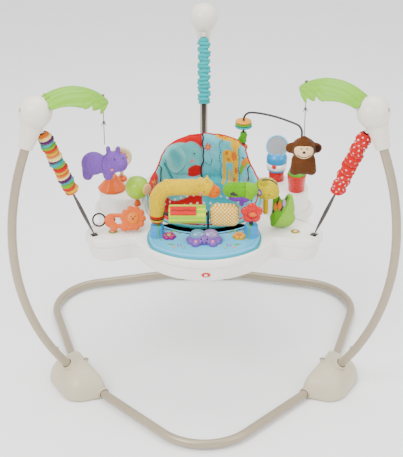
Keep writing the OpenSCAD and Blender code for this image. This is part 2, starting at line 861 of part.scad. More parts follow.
foot(LEFT);  // foot_left
foot(RIGHT);  // foot_right
foot(REAR);  // foot_rear
base_tube(270);  // base_tube_front
base_tube(150);  // base_tube_left
base_tube(30);  // base_tube_right
leg_stubs();
upright(LEFT);  // upright_left
upright(RIGHT);  // upright_right
upright(REAR);  // upright_rear
hub(LEFT);  // hub_left
hub(RIGHT);  // hub_right
hub(REAR);  // hub_rear
leaf(LEFT, -12);  // leaf_left
leaf(RIGHT, 0);  // leaf_right
foot_pads();
frame_screws();
coil_springs();
spring_covers();
snap_button(LEFT);  // snap_button_left
snap_button(RIGHT);  // snap_button_right
snap_button(REAR);  // snap_button_rear
tray_shell();
straps();
front_panel();
battery_box();
battery_door();
batteries();
electronics();
giraffe_arch();
drum_axle();
disc_base();
mirror_base();
bead_wire();
dotted_pouch();
crocodile();
spotted_head();
leaf_bag();
hippo_button();
hippo_dome();
flower_button(-1);  // flower_button_left
flower_button(1);  // flower_button_right
power_switch();
roller_drum();
drum_paddle();
flower_spinner();
lime_ball();
cream_disc();
lion_teether();
teether_strap();
mirror_housing();
mirror_glass();
ring_beads();
leaf_bead();
seat_ring();
seat_pad();
hang_cord(LEFT, cord_top_left, hippo_top);  // hang_cord_left
hippo_toy();
hang_cord(RIGHT, cord_top_right, monkey_top);  // hang_cord_right
monkey_toy();
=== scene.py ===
import math
import random
import bpy
import bmesh
import numpy as np
from mathutils import Matrix, Vector
from mathutils.bvhtree import BVHTree


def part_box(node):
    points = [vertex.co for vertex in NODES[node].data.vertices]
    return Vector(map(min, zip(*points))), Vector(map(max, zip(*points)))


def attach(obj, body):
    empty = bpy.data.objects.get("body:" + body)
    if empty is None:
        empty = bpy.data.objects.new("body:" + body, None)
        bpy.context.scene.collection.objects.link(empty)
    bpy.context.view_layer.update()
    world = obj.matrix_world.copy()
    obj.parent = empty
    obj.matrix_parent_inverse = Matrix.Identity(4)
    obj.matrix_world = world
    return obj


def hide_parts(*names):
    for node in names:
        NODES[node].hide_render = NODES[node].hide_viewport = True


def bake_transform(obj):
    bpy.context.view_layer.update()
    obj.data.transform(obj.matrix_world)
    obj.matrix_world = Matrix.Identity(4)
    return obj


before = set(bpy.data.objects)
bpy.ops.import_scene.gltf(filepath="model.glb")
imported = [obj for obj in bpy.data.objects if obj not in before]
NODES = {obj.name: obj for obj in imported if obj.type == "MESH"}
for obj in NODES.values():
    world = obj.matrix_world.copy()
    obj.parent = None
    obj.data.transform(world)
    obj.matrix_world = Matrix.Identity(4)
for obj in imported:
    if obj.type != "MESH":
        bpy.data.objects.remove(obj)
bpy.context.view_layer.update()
SCENE = bpy.context.scene

# Everything below is in millimetres about the middle of the seat ring, and is put into the row frame by P().
ring_lo, ring_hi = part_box("seat_ring")
AXIS = (ring_lo + ring_hi) / 2
LEFT, RIGHT, REAR = 210, 330, 90
SIDES = ((LEFT, "left"), (RIGHT, "right"), (REAR, "rear"))
DECK = 424.0


def P(x, y, z):
    return Vector((AXIS.x + x / 1000, AXIS.y + y / 1000, z / 1000))


def pol(direction, r, z=0.0, side=0.0):
    """A point r out along a direction, side to the left of it."""
    a = math.radians(direction)
    return Vector((r * math.cos(a) - side * math.sin(a), r * math.sin(a) + side * math.cos(a), z))


# ---------------------------------------------------------------- camera, lights and world

def look(obj, at):
    obj.rotation_mode = "QUATERNION"
    obj.rotation_quaternion = (at - obj.location).to_track_quat("-Z", "Y")


cam_data = bpy.data.cameras.new("camera")
camera = bpy.data.objects.new("camera", cam_data)
SCENE.collection.objects.link(camera)
camera.location = P(-6, -2868, 1908)
look(camera, P(-4.3, 0, 400))
cam_data.lens, cam_data.sensor_width = 98.4, 36
cam_data.shift_x, cam_data.shift_y = -0.002, -0.031
cam_data.clip_start, cam_data.clip_end = 0.05, 50
SCENE.camera = camera


def area_light(name, at, aim, size, energy, colour=(1, 1, 1)):
    data = bpy.data.lights.new(name, "AREA")
    data.shape, data.size, data.energy, data.color = "DISK", size, energy, colour
    obj = bpy.data.objects.new(name, data)
    SCENE.collection.objects.link(obj)
    obj.location = P(*at)
    look(obj, P(*aim))


area_light("key", (-1500, -1700, 2600), (0, 0, 350), 1.7, 102)
area_light("fill", (1900, -1300, 1900), (0, 0, 350), 2.0, 40)
area_light("top", (200, 600, 2900), (0, 0, 400), 2.2, 62)
world = bpy.data.worlds.new("studio")
SCENE.world = world
world.use_nodes = True
world.node_tree.nodes["Background"].inputs[0].default_value = (1, 1, 1, 1)
world.node_tree.nodes["Background"].inputs[1].default_value = 1.3


# ---------------------------------------------------------------- materials

def new_material(name):
    m = bpy.data.materials.new(name)
    m.use_nodes = True
    nt = m.node_tree
    return m, nt, nt.nodes["Principled BSDF"]


def rgb(c):
    """An sRGB colour as 0xRRGGBB, or three linear numbers, as linear RGBA."""
    if isinstance(c, int):
        c = [((c >> s) & 255) / 255 for s in (16, 8, 0)]
        c = [x / 12.92 if x <= 0.04045 else ((x + 0.055) / 1.055) ** 2.4 for x in c]
        # the view's tone curve pales strong colours, so they start a little stronger
        grey, depth = sum(c) / 3, (max(c) - min(c)) / max(max(c), 1e-6)
        c = [min(1.0, max(0.0, grey + (x - grey) * 1.3)) * (1 - 0.36 * depth) for x in c]
    return (*c[:3], 1.0)


class Net:
    """Short ways to add shader nodes to one material."""

    def __init__(self, nt):
        self.nt = nt
        self.co = nt.nodes.new("ShaderNodeTexCoord").outputs["Object"]

    def add(self, kind, inputs=(), out=0, **props):
        n = self.nt.nodes.new(kind)
        for k, v in props.items():
            setattr(n, k, v)
        for k, v in dict(inputs).items():
            if isinstance(v, bpy.types.NodeSocket):
                self.nt.links.new(v, n.inputs[k])
            else:
                n.inputs[k].default_value = v
        return n.outputs[out]

    def noise(self, scale, detail=3.0, rough=0.55, co=None):
        return self.add("ShaderNodeTexNoise", {"Vector": co or self.co, "Scale": scale, "Detail": detail, "Roughness": rough})

    def ramp(self, value, lo, hi, a=0.0, b=1.0):
        return self.add("ShaderNodeMapRange", {"Value": value, "From Min": lo, "From Max": hi, "To Min": a, "To Max": b})

    def maths(self, op, a, b=0.0):
        return self.add("ShaderNodeMath", {0: a, 1: b}, operation=op)

    def mix(self, factor, a, b):
        n = self.nt.nodes.new("ShaderNodeMix")
        n.data_type = "RGBA"
        for key, v in ((0, factor), (6, a), (7, b)):
            if isinstance(v, bpy.types.NodeSocket):
                self.nt.links.new(v, n.inputs[key])
            else:
                n.inputs[key].default_value = v
        return n.outputs[2]

    def bump(self, height, strength, distance):
        return self.add("ShaderNodeBump", {"Height": height, "Strength": strength, "Distance": distance})


def shade(c, k):
    return (*[min(1.0, x * k) for x in c[:3]], 1.0)


def base_colour(net, colour, print_layer):
    """The material's colour: one colour, or what is printed on the mesh."""
    if print_layer:
        return net.add("ShaderNodeVertexColor", layer_name="print")
    return rgb(colour)


def plastic(name, colour=None, rough=0.34, grain=0.25, coat=0.15, printed=False, sss=0.0):
    """Moulded plastic: a fine spark-eroded grain, soft flow marks and handling wear in the gloss."""
    m, nt, bsdf = new_material(name)
    net = Net(nt)
    base = base_colour(net, colour, printed)
    flow = net.ramp(net.noise(9, 2), 0.35, 0.7)
    worn = net.ramp(net.noise(34, 5, 0.7), 0.52, 0.78)
    if printed:
        dark = net.add("ShaderNodeHueSaturation", {"Value": 0.93, "Color": base})
        tint = net.mix(flow, base, dark)
    else:
        tint = net.mix(flow, base, shade(base, 0.93))
    nt.links.new(tint, bsdf.inputs["Base Color"])
    nt.links.new(net.maths("ADD", net.ramp(worn, 0, 1, rough, rough + 0.12), 0.0), bsdf.inputs["Roughness"])
    fine = net.maths("ADD", net.noise(1500, 2), net.maths("MULTIPLY", net.noise(90, 2), 0.6))
    nt.links.new(net.bump(fine, grain, 0.0003), bsdf.inputs["Normal"])
    bsdf.inputs["Coat Weight"].default_value = coat * 0.45
    bsdf.inputs["Specular IOR Level"].default_value = 0.32
    bsdf.inputs["Coat Roughness"].default_value = 0.2
    bsdf.inputs["Subsurface Weight"].default_value = sss
    bsdf.inputs["Subsurface Scale"].default_value = 0.004
    return m


def powder_coat(name, colour):
    m, nt, bsdf = new_material(name)
    net = Net(nt)
    base = rgb(colour)
    peel = net.noise(420, 3, 0.5)
    speck = net.ramp(net.noise(2600, 1), 0.62, 0.72)
    tint = net.mix(net.ramp(net.noise(6, 2), 0.3, 0.7), base, shade(base, 0.9))
    nt.links.new(net.mix(net.maths("MULTIPLY", speck, 0.25), tint, shade(base, 1.35)), bsdf.inputs["Base Color"])
    nt.links.new(net.ramp(peel, 0.3, 0.7, 0.3, 0.42), bsdf.inputs["Roughness"])
    nt.links.new(net.bump(peel, 0.22, 0.0004), bsdf.inputs["Normal"])
    bsdf.inputs["Metallic"].default_value = 0.25
    bsdf.inputs["Coat Weight"].default_value = 0.25
    bsdf.inputs["Coat Roughness"].default_value = 0.25
    return m


def woven(name, colour=None, pitch=900.0, printed=False, sheen=0.2, strength=0.5, crease=0.35):
    """Plain woven cloth: crossed threads in all three directions, slubs, soft creases and a little sheen."""
    m, nt, bsdf = new_material(name)
    net = Net(nt)
    base = base_colour(net, colour, printed)
    waves = [net.add("ShaderNodeTexWave", {"Vector": net.co, "Scale": pitch / 6.28, "Distortion": 0.6, "Detail": 1.0, "Detail Scale": 2.0},
                     out=1, wave_type="BANDS", bands_direction=d) for d in "XYZ"]
    threads = net.maths("MAXIMUM", net.maths("MAXIMUM", waves[0], waves[1]), waves[2])
    threads = net.maths("MULTIPLY", net.maths("ADD", net.maths("ADD", waves[0], waves[1]), waves[2]), 0.33)
    slub = net.noise(260, 3)
    gaps = net.ramp(threads, 0.2, 0.8, 0.86, 1.04)
    soil = net.ramp(net.noise(11, 3), 0.3, 0.75, 1.0, 0.93)
    value = net.maths("MULTIPLY", gaps, net.maths("MULTIPLY", soil, net.ramp(slub, 0.3, 0.7, 0.94, 1.05)))
    hue = net.add("ShaderNodeHueSaturation", {"Value": value, "Color": base})
    nt.links.new(hue, bsdf.inputs["Base Color"])
    folds = net.noise(38, 4, 0.6)
    height = net.maths("ADD", net.maths("MULTIPLY", threads, 0.35), net.maths("ADD", net.maths("MULTIPLY", folds, crease * 4), net.maths("MULTIPLY", slub, 0.3)))
    nt.links.new(net.bump(height, strength, 0.0012), bsdf.inputs["Normal"])
    bsdf.inputs["Roughness"].default_value = 0.85
    bsdf.inputs["Sheen Weight"].default_value = sheen
    bsdf.inputs["Sheen Roughness"].default_value = 0.45
    bsdf.inputs["Specular IOR Level"].default_value = 0.25
    return m


def plush(name, colour=None, printed=False, pile=700.0):
    """Short-pile plush: clumped fibre tips with a painted highlight, and painted shade between the clumps."""
    m, nt, bsdf = new_material(name)
    net = Net(nt)
    base = base_colour(net, colour, printed)
    clump = net.add("ShaderNodeTexVoronoi", {"Vector": net.co, "Scale": pile * 0.45}, out=0, feature="F1")
    fibre = net.noise(pile * 2.2, 3, 0.7)
    nap = net.noise(26, 3)
    # each clump's tip is lightened and the gaps between clumps darkened: painted highlight and painted shade
    value = net.maths("MULTIPLY", net.ramp(clump, 0.0, 0.75, 1.1, 0.74), net.maths("MULTIPLY", net.ramp(fibre, 0.3, 0.7, 0.86, 1.12), net.ramp(nap, 0.3, 0.7, 0.92, 1.06)))
    nt.links.new(net.add("ShaderNodeHueSaturation", {"Value": value, "Color": base}), bsdf.inputs["Base Color"])
    height = net.maths("ADD", net.maths("MULTIPLY", fibre, 0.6), net.maths("SUBTRACT", 1.0, clump))
    nt.links.new(net.bump(height, 0.75, 0.0014), bsdf.inputs["Normal"])
    bsdf.inputs["Roughness"].default_value = 0.95
    bsdf.inputs["Sheen Weight"].default_value = 0.22
    bsdf.inputs["Sheen Roughness"].default_value = 0.35
    bsdf.inputs["Specular IOR Level"].default_value = 0.1
    return m


def webbing(name, colour):
    """Narrow woven tape with a herringbone rib."""
    m, nt, bsdf = new_material(name)
    net = Net(nt)
    base = rgb(colour)
    ribs = net.add("ShaderNodeTexWave", {"Vector": net.co, "Scale": 160.0, "Distortion": 1.5, "Detail": 2.0, "Detail Scale": 3.0}, out=1, bands_direction="Z")
    cross = net.add("ShaderNodeTexWave", {"Vector": net.co, "Scale": 210.0, "Distortion": 0.8}, out=1, bands_direction="DIAGONAL")
    rib = net.maths("MULTIPLY", ribs, cross)
    nt.links.new(net.mix(rib, shade(base, 0.7), shade(base, 1.6)), bsdf.inputs["Base Color"])
    nt.links.new(net.bump(rib, 0.7, 0.0008), bsdf.inputs["Normal"])
    bsdf.inputs["Roughness"].default_value = 0.8
    bsdf.inputs["Sheen Weight"].default_value = 0.2
    return m


def metal(name, colour, rough=0.28, brushed=400.0):
    m, nt, bsdf = new_material(name)
    net = Net(nt)
    stretch = net.add("ShaderNodeMapping", {"Vector": net.co, "Scale": (1, 1, 0.06)})
    scratch = net.noise(brushed, 4, 0.6, stretch)
    nt.links.new(net.mix(net.noise(30, 2), rgb(colour), shade(rgb(colour), 0.8)), bsdf.inputs["Base Color"])
    nt.links.new(net.ramp(scratch, 0.3, 0.7, rough, rough + 0.18), bsdf.inputs["Roughness"])
    nt.links.new(net.bump(scratch, 0.15, 0.0002), bsdf.inputs["Normal"])
    bsdf.inputs["Metallic"].default_value = 1.0
    return m


def clear_plastic(name, colour, weight=0.55):
    m, nt, bsdf = new_material(name)
    net = Net(nt)
    base = rgb(colour)
    nt.links.new(net.mix(net.ramp(net.noise(40, 2), 0.3, 0.7), base, shade(base, 0.9)), bsdf.inputs["Base Color"])
    nt.links.new(net.ramp(net.noise(60, 4), 0.4, 0.7, 0.08, 0.18), bsdf.inputs["Roughness"])
    bsdf.inputs["Transmission Weight"].default_value = weight
    bsdf.inputs["IOR"].default_value = 1.45
    bsdf.inputs["Coat Weight"].default_value = 0.5
    return m


MAT = {
    "tube": powder_coat("powder_coat", 0xA79B88),
    "foot": plastic("foot_plastic", 0xC9BFAA, rough=0.36),
    "hub": plastic("hub_plastic", 0xE6E0D4, rough=0.3, coat=0.3, sss=0.1),
    "white": plastic("tray_plastic", 0xF1EEE8, rough=0.3, coat=0.25, sss=0.1),
    "leaf": plastic("leaf_plastic", 0x8CC152, rough=0.42, coat=0.05),
    "rubber": plastic("rubber", 0x2A2826, rough=0.75, grain=0.6, coat=0.0),
    "steel": metal("zinc_steel", 0xB5B8BC),
    "webbing": webbing("webbing", 0x2C221E),
    "blue": plastic("panel_plastic", 0x7CC6E8, rough=0.3, coat=0.3),
    "teal": plastic("teal_plastic", 0x2FA7B4, rough=0.32, coat=0.3),
    "yellow": plush("giraffe_plush", 0xFFCC33, pile=900),
    "dark": plastic("dark_plastic", 0x2B2523, rough=0.4),
    "orange": plastic("orange_plastic", 0xF07A1E, rough=0.3, coat=0.3),
    "red": plastic("red_plastic", 0xD9281C, rough=0.26, coat=0.4),
    "lime": plastic("lime_plastic", 0xA9CF2C, rough=0.28, coat=0.35),
    "cream": plastic("cream_plastic", 0xEAD9B4, rough=0.35),
    "purple": plastic("purple_plastic", 0x8163AE, rough=0.33, coat=0.2),
    "sky": plastic("sky_plastic", 0x3E9FD6, rough=0.26, coat=0.4),
    "green": plastic("green_plastic", 0x63A83A, rough=0.3, coat=0.3),
    "wire": plastic("dipped_wire", 0x2F2A2E, rough=0.35, coat=0.3),
    "grey": plastic("board_plastic", 0x2F5B3C, rough=0.5),
    "cell": metal("cell_jacket", 0x8A8F96, rough=0.35),
    "cord": webbing("cord_braid", 0x6B6662),
    "lion": plastic("soft_vinyl", 0xEE7A2A, rough=0.45, coat=0.1, sss=0.15),
}

CAD_LOOK = {
    "tube": ["base_tube_front", "base_tube_left", "base_tube_right", "leg_stubs", "upright_left", "upright_right", "upright_rear"],
    "foot": ["foot_left", "foot_right", "foot_rear"],
    "hub": ["hub_left", "hub_right", "hub_rear"],
    "leaf": ["leaf_left", "leaf_right"],
    "rubber": ["foot_pads"],
    "steel": ["frame_screws", "coil_springs", "snap_button_left", "snap_button_right", "snap_button_rear"],
    "white": ["tray_shell", "seat_ring", "battery_box", "battery_door"],
    "webbing": ["straps", "teether_strap"],
    "blue": ["front_panel"],
    "cell": ["batteries"],
    "grey": ["electronics"],
    "yellow": ["giraffe_arch", "spotted_head", "dotted_pouch"],
    "dark": ["drum_axle", "power_switch"],
    "orange": ["disc_base", "ring_beads", "flower_button_right"],
    "red": ["mirror_base", "drum_paddle", "flower_spinner", "spring_covers"],
    "wire": ["bead_wire"],
    "green": ["crocodile", "leaf_bag", "leaf_bead"],
    "purple": ["hippo_button", "hippo_dome", "flower_button_left", "hippo_toy", "monkey_toy"],
    "lime": ["roller_drum", "lime_ball"],
    "cream": ["cream_disc"],
    "lion": ["lion_teether"],
    "sky": ["mirror_housing", "seat_pad"],
    "cord": ["hang_cord_left", "hang_cord_right"],
}
CAD_LOOK["steel"].append("mirror_glass")
for key, names in CAD_LOOK.items():
    for node in names:
        obj = NODES[node]
        obj.data.materials.clear()
        obj.data.materials.append(MAT[key])
        obj.data.shade_smooth()

# ---------------------------------------------------------------- mesh helpers

def add_piece(name, points, faces, mats, body=None, replaces=(), smooth=True, face_mats=None, fix=True):
    """A mesh piece from points in millimetres. mats is one material or a list, face_mats picks from it face by face."""
    mesh = bpy.data.meshes.new(name)
    mesh.from_pydata([P(*p) for p in points], [], [tuple(f) for f in faces])
    mesh.validate()
    if fix:
        bm = bmesh.new()
        bm.from_mesh(mesh)
        bmesh.ops.recalc_face_normals(bm, faces=bm.faces)
        bm.to_mesh(mesh)
        bm.free()
    obj = bpy.data.objects.new(name, mesh)
    SCENE.collection.objects.link(obj)
    for m in mats if isinstance(mats, (list, tuple)) else [mats]:
        mesh.materials.append(m)
    if face_mats is not None:
        mesh.polygons.foreach_set("material_index", face_mats)
    if smooth:
        mesh.shade_smooth()
    return settle(obj, body, replaces)


def settle(obj, body, replaces=()):
    if body:
        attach(obj, body)
    if replaces:
        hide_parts(*replaces)
    return obj


class Soup:
    """Points and faces gathered from several shapes into one piece."""

    def __init__(self):
        self.points, self.faces, self.mats = [], [], []

    def add(self, points, faces, mat=0):
        n = len(self.points)
        self.points += [Vector(p) for p in points]
        self.faces += [tuple(n + i for i in f) for f in faces]
        self.mats += [mat] * len(faces)
        return self

    def piece(self, name, mats, body=None, slot=None, replaces=(), smooth=True, fix=True):
        return add_piece(name, self.points, self.faces, mats, body, replaces, smooth, self.mats, fix)


def rings_mesh(rings, closed=False, cap_start=True, cap_end=True, wrap=True):
    """Faces over rings of points, all of one count. closed joins the last ring to the first."""
    n = len(rings[0])
    points = [p for ring in rings for p in ring]
    faces = []
    last = len(rings) if closed else len(rings) - 1
    for i in range(last):
        a, b = i * n, ((i + 1) % len(rings)) * n
        for j in range(n if wrap else n - 1):
            k = (j + 1) % n
            faces.append((a + j, a + k, b + k, b + j))
    if not closed:
        if cap_start:
            faces.append(tuple(range(n - 1, -1, -1)))
        if cap_end:
            faces.append(tuple(range((len(rings) - 1) * n, len(rings) * n)))
    return points, faces


def basis(z_axis, x_hint=(1, 0, 0)):
    z = Vector(z_axis).normalized()
    x = Vector(x_hint)
    x = x - z * x.dot(z)
    if x.length < 1e-6:
        x = Vector((0, 1, 0)) - z * z.y
    x.normalize()
    return x, z.cross(x), z


def lathe(profile, at, axis=(0, 0, 1), segments=64, caps=(True, True), radius=None):
    """Profile is [(radius, height)] along the axis; radius(angle, r, h) may change it."""
    x, y, z = basis(axis)
    at = Vector(at)
    rings = []
    for r, h in profile:
        ring = []
        for i in range(segments):
            a = 2 * math.pi * i / segments
            q = radius(a, r, h) if radius else r
            ring.append(at + x * (q * math.cos(a)) + y * (q * math.sin(a)) + z * h)
        rings.append(ring)
    return rings_mesh(rings, cap_start=caps[0], cap_end=caps[1])


def arc_profile(cr, ch, r, a0, a1, count=6):
    """Points of a round edge in a profile, angles in degrees from outward to up."""
    return [(cr + r * math.cos(math.radians(a0 + (a1 - a0) * i / count)), ch + r * math.sin(math.radians(a0 + (a1 - a0) * i / count))) for i in range(count + 1)]


def spline(points, count, closed=False):
    """Catmull-Rom points through the given ones, evenly counted."""
    pts = [Vector(p) for p in points]
    n = len(pts)
    spans = n if closed else n - 1
    out = []
    for k in range(count if closed else count + 1):
        u = k * spans / count
        i = min(int(u), spans - 1)
        t = u - i
        if closed:
            p = [pts[(i + d) % n] for d in (-1, 0, 1, 2)]
        else:
            p = [pts[max(0, min(n - 1, i + d))] for d in (-1, 0, 1, 2)]
        out.append(0.5 * ((2 * p[1]) + (p[2] - p[0]) * t + (2 * p[0] - 5 * p[1] + 4 * p[2] - p[3]) * t * t + (3 * p[1] - p[0] - 3 * p[2] + p[3]) * t ** 3))
    return out


def sweep(path, radius, segments=12, caps=True, closed=False, flat=1.0, hint=(0, 0, 1)):
    """A tube along a path; radius is a number or a function of 0..1, flat squeezes it across the hint."""
    pts = [Vector(p) for p in path]
    n = len(pts)
    rings, normal = [], None
    for i, p in enumerate(pts):
        ahead = pts[(i + 1) % n] if closed else pts[min(i + 1, n - 1)]
        behind = pts[i - 1] if closed or i else pts[0]
        t = (ahead - behind).normalized()
        if normal is None:
            h = Vector(hint)
            normal = (h - t * h.dot(t))
            if normal.length < 1e-5:
                normal = Vector((1, 0, 0)) - t * t.x
        normal = (normal - t * normal.dot(t)).normalized()
        side = t.cross(normal)
        r = radius(i / max(1, n - 1)) if callable(radius) else radius
        rings.append([p + normal * (r * flat * math.cos(2 * math.pi * j / segments)) + side * (r * math.sin(2 * math.pi * j / segments)) for j in range(segments)])
    return rings_mesh(rings, closed=closed, cap_start=caps, cap_end=caps)


def resample(points, step):
    """Evenly spaced points round a closed outline."""
    pts = [Vector((p[0], p[1], 0)) for p in points]
    lengths = [(pts[(i + 1) % len(pts)] - p).length for i, p in enumerate(pts)]
    total = sum(lengths)
    count = max(8, round(total / step))
    out, i, run = [], 0, 0.0
    for k in range(count):
        want = k * total / count
        while run + lengths[i] < want:
            run += lengths[i]
            i += 1
        t = (want - run) / max(lengths[i], 1e-9)
        out.append(pts[i].lerp(pts[(i + 1) % len(pts)], t))
    return out


def soft_outline(points, step=2.0, sigma=4.0):
    """A closed outline with its corners rounded over about sigma millimetres."""
    pts = resample(points, step)
    n, s = len(pts), sigma / step
    if s < 0.3:
        return pts
    half = int(3 * s) + 1
    weights = [math.exp(-0.5 * (d / s) ** 2) for d in range(-half, half + 1)]
    total = sum(weights)
    return [sum((pts[(i + d) % n] * w for d, w in zip(range(-half, half + 1), weights)), Vector((0, 0, 0))) / total for i in range(n)]


def inset(outline, by):
    """The outline moved inward by a distance, which stays small beside its curves."""
    n = len(outline)
    area = sum(outline[i].x * outline[(i + 1) % n].y - outline[(i + 1) % n].x * outline[i].y for i in range(n))
    sign = 1 if area > 0 else -1
    out = []
    for i in range(n):
        t = (outline[(i + 1) % n] - outline[i - 1]).normalized()
        out.append(outline[i] + Vector((-t.y, t.x, 0)) * (by * sign))
    return out


def plate(outline, levels, place=None):
    """A solid from an outline and its [(inset, height)] levels, bottom first. place maps (x, y, z) to millimetres."""
    rings = [[Vector((p.x, p.y, z)) for p in inset(outline, by)] for by, z in levels]
    points, faces = rings_mesh(rings)
    if place:
        points = [place(p) for p in points]
    return points, faces


def round_levels(z0, z1, r, base_r=0.8):
    """Levels of a plate with a small round at the bottom edge and a larger one at the top."""
    low = [(base_r * (1 - math.sin(a)), z0 + base_r * (1 - math.cos(a))) for a in (0, 0.8, 1.57)]
    high = [(r * (1 - math.cos(a)), z1 - r * (1 - math.sin(a))) for a in (0, 0.3, 0.6, 0.9, 1.2, 1.4, 1.57)]
    return low + high


def disc_outline(r, n=48, squash=1.0, at=(0, 0)):
    return [Vector((at[0] + r * math.cos(2 * math.pi * i / n), at[1] + r * squash * math.sin(2 * math.pi * i / n), 0)) for i in range(n)]


def frame_at(at, z_axis, x_hint=(1, 0, 0)):
    """Maps local points to a place, local z along z_axis and local x towards x_hint."""
    x, y, z = basis(z_axis, x_hint)
    at = Vector(at)
    return lambda p: at + x * p[0] + y * p[1] + z * p[2]


def ellipsoid(at, radii, turn=None, count=20):
    """A ball of given radii; turn is a Matrix or None."""
    at = Vector(at)
    rings = []
    points = []
    for i in range(1, count):
        v = math.pi * i / count
        ring = []
        for j in range(2 * count):
            u = math.pi * j / count
            p = Vector((radii[0] * math.sin(v) * math.cos(u), radii[1] * math.sin(v) * math.sin(u), radii[2] * math.cos(v)))
            ring.append(at + (turn @ p if turn else p))
        rings.append(ring)
    points, faces = rings_mesh(rings, cap_start=False, cap_end=False)
    n = 2 * count
    top, bottom = Vector((0, 0, radii[2])), Vector((0, 0, -radii[2]))
    points += [at + (turn @ top if turn else top), at + (turn @ bottom if turn else bottom)]
    base = (count - 2) * n
    for j in range(n):
        faces.append((len(points) - 2, (j + 1) % n, j))
        faces.append((len(points) - 1, base + j, base + (j + 1) % n))
    return points, faces


def capsule(a, b, ra, rb=None, segments=24):
    """A rod with round ends from a to b."""
    a, b = Vector(a), Vector(b)
    rb = ra if rb is None else rb
    axis = b - a
    profile = [(max(0.2, ra * math.cos(t)), ra * math.sin(t)) for t in [math.radians(x) for x in (-88, -70, -50, -30, -10, 0)]]
    profile += [(max(0.2, rb * math.cos(t)), axis.length + rb * math.sin(t)) for t in [math.radians(x) for x in (0, 10, 30, 50, 70, 88)]]
    return lathe(profile, a, axis, segments)


def evaluated_mesh(obj):
    dg = bpy.context.evaluated_depsgraph_get()
    return bpy.data.meshes.new_from_object(obj.evaluated_get(dg))


def freeze(obj):
    """Applies every modifier."""
    mesh = evaluated_mesh(obj)
    obj.modifiers.clear()
    old = obj.data
    obj.data = mesh
    bpy.data.meshes.remove(old)
    return obj


def melt(obj, voxel=2.5, smooth=6, factor=0.5, subdivide=0, decimate=0.0):
    """Joins overlapping solids into one skin and smooths it, sizes in millimetres."""
    rm = obj.modifiers.new("remesh", "REMESH")
    rm.mode, rm.voxel_size, rm.use_smooth_shade = "VOXEL", voxel / 1000, True
    if smooth:
        sm = obj.modifiers.new("smooth", "SMOOTH")
        sm.factor, sm.iterations = factor, smooth
    if subdivide:
        sub = obj.modifiers.new("subdivide", "SUBSURF")
        sub.levels = sub.render_levels = subdivide
    mats = list(obj.data.materials)
    freeze(obj)
    obj.data.materials.clear()
    for m in mats:
        obj.data.materials.append(m)
    obj.data.shade_smooth()
    return obj


def blob(name, shapes, mat, voxel=2.5, smooth=6, factor=0.5):
    """One skin over several (points, faces) solids; it isn't on a body yet."""
    soup = Soup()
    for pts, fcs in shapes:
        soup.add(pts, fcs)
    obj = soup.piece(name, mat, fix=False)
    return melt(obj, voxel, smooth, factor)


def coords(obj):
    co = np.empty(len(obj.data.vertices) * 3)
    obj.data.vertices.foreach_get("co", co)
    return co.reshape(-1, 3)


def mm(obj):
    """Vertices in millimetres about the axis."""
    return (coords(obj) - np.array(AXIS) * [1, 1, 0]) * 1000


def set_mm(obj, pts):
    obj.data.vertices.foreach_set("co", (pts / 1000 + np.array(AXIS) * [1, 1, 0]).ravel())
    obj.data.update()


def smoothstep(x, lo, hi):
    t = np.clip((x - lo) / (hi - lo), 0, 1)
    return t * t * (3 - 2 * t)


def paint(obj, colours):
    """Prints a colour on every vertex: colours is an array of linear RGB."""
    layer = obj.data.color_attributes.get("print") or obj.data.color_attributes.new("print", "FLOAT_COLOR", "POINT")
    layer.data.foreach_set("color", np.hstack([colours, np.ones((len(colours), 1))]).astype(np.float32).ravel())


class Print:
    """Layers of colour over points, each with a soft edge."""

    def __init__(self, count, colour):
        self.c = np.tile(np.array(rgb(colour)[:3]), (count, 1))

    def lay(self, distance, colour, edge=0.8):
        """distance is below 0 inside the shape."""
        k = (1 - smoothstep(distance, -edge, edge))[:, None]
        self.c = self.c * (1 - k) + np.array(rgb(colour)[:3]) * k
        return self


def oval(u, v, cu, cv, ru, rv, turn=0.0):
    """Roughly the signed distance to an oval."""
    a = math.radians(turn)
    x, y = u - cu, v - cv
    x, y = x * math.cos(a) + y * math.sin(a), -x * math.sin(a) + y * math.cos(a)
    return (np.sqrt((x / ru) ** 2 + (y / rv) ** 2) - 1) * min(ru, rv)


def line_distance(u, v, points, half):
    """Signed distance to a polyline of a given half width."""
    best = np.full(u.shape, 1e9)
    for (ax, ay), (bx, by) in zip(points, points[1:]):
        dx, dy = bx - ax, by - ay
        t = np.clip(((u - ax) * dx + (v - ay) * dy) / max(dx * dx + dy * dy, 1e-9), 0, 1)
        best = np.minimum(best, np.hypot(u - ax - t * dx, v - ay - t * dy))
    return best - half


def petals(u, v, cu, cv, r, count=5, turn=0.0):
    """Signed distance to a generic flower."""
    x, y = u - cu, v - cv
    a = np.arctan2(y, x) + math.radians(turn)
    return np.hypot(x, y) - r * (0.72 + 0.28 * np.cos(count * a))


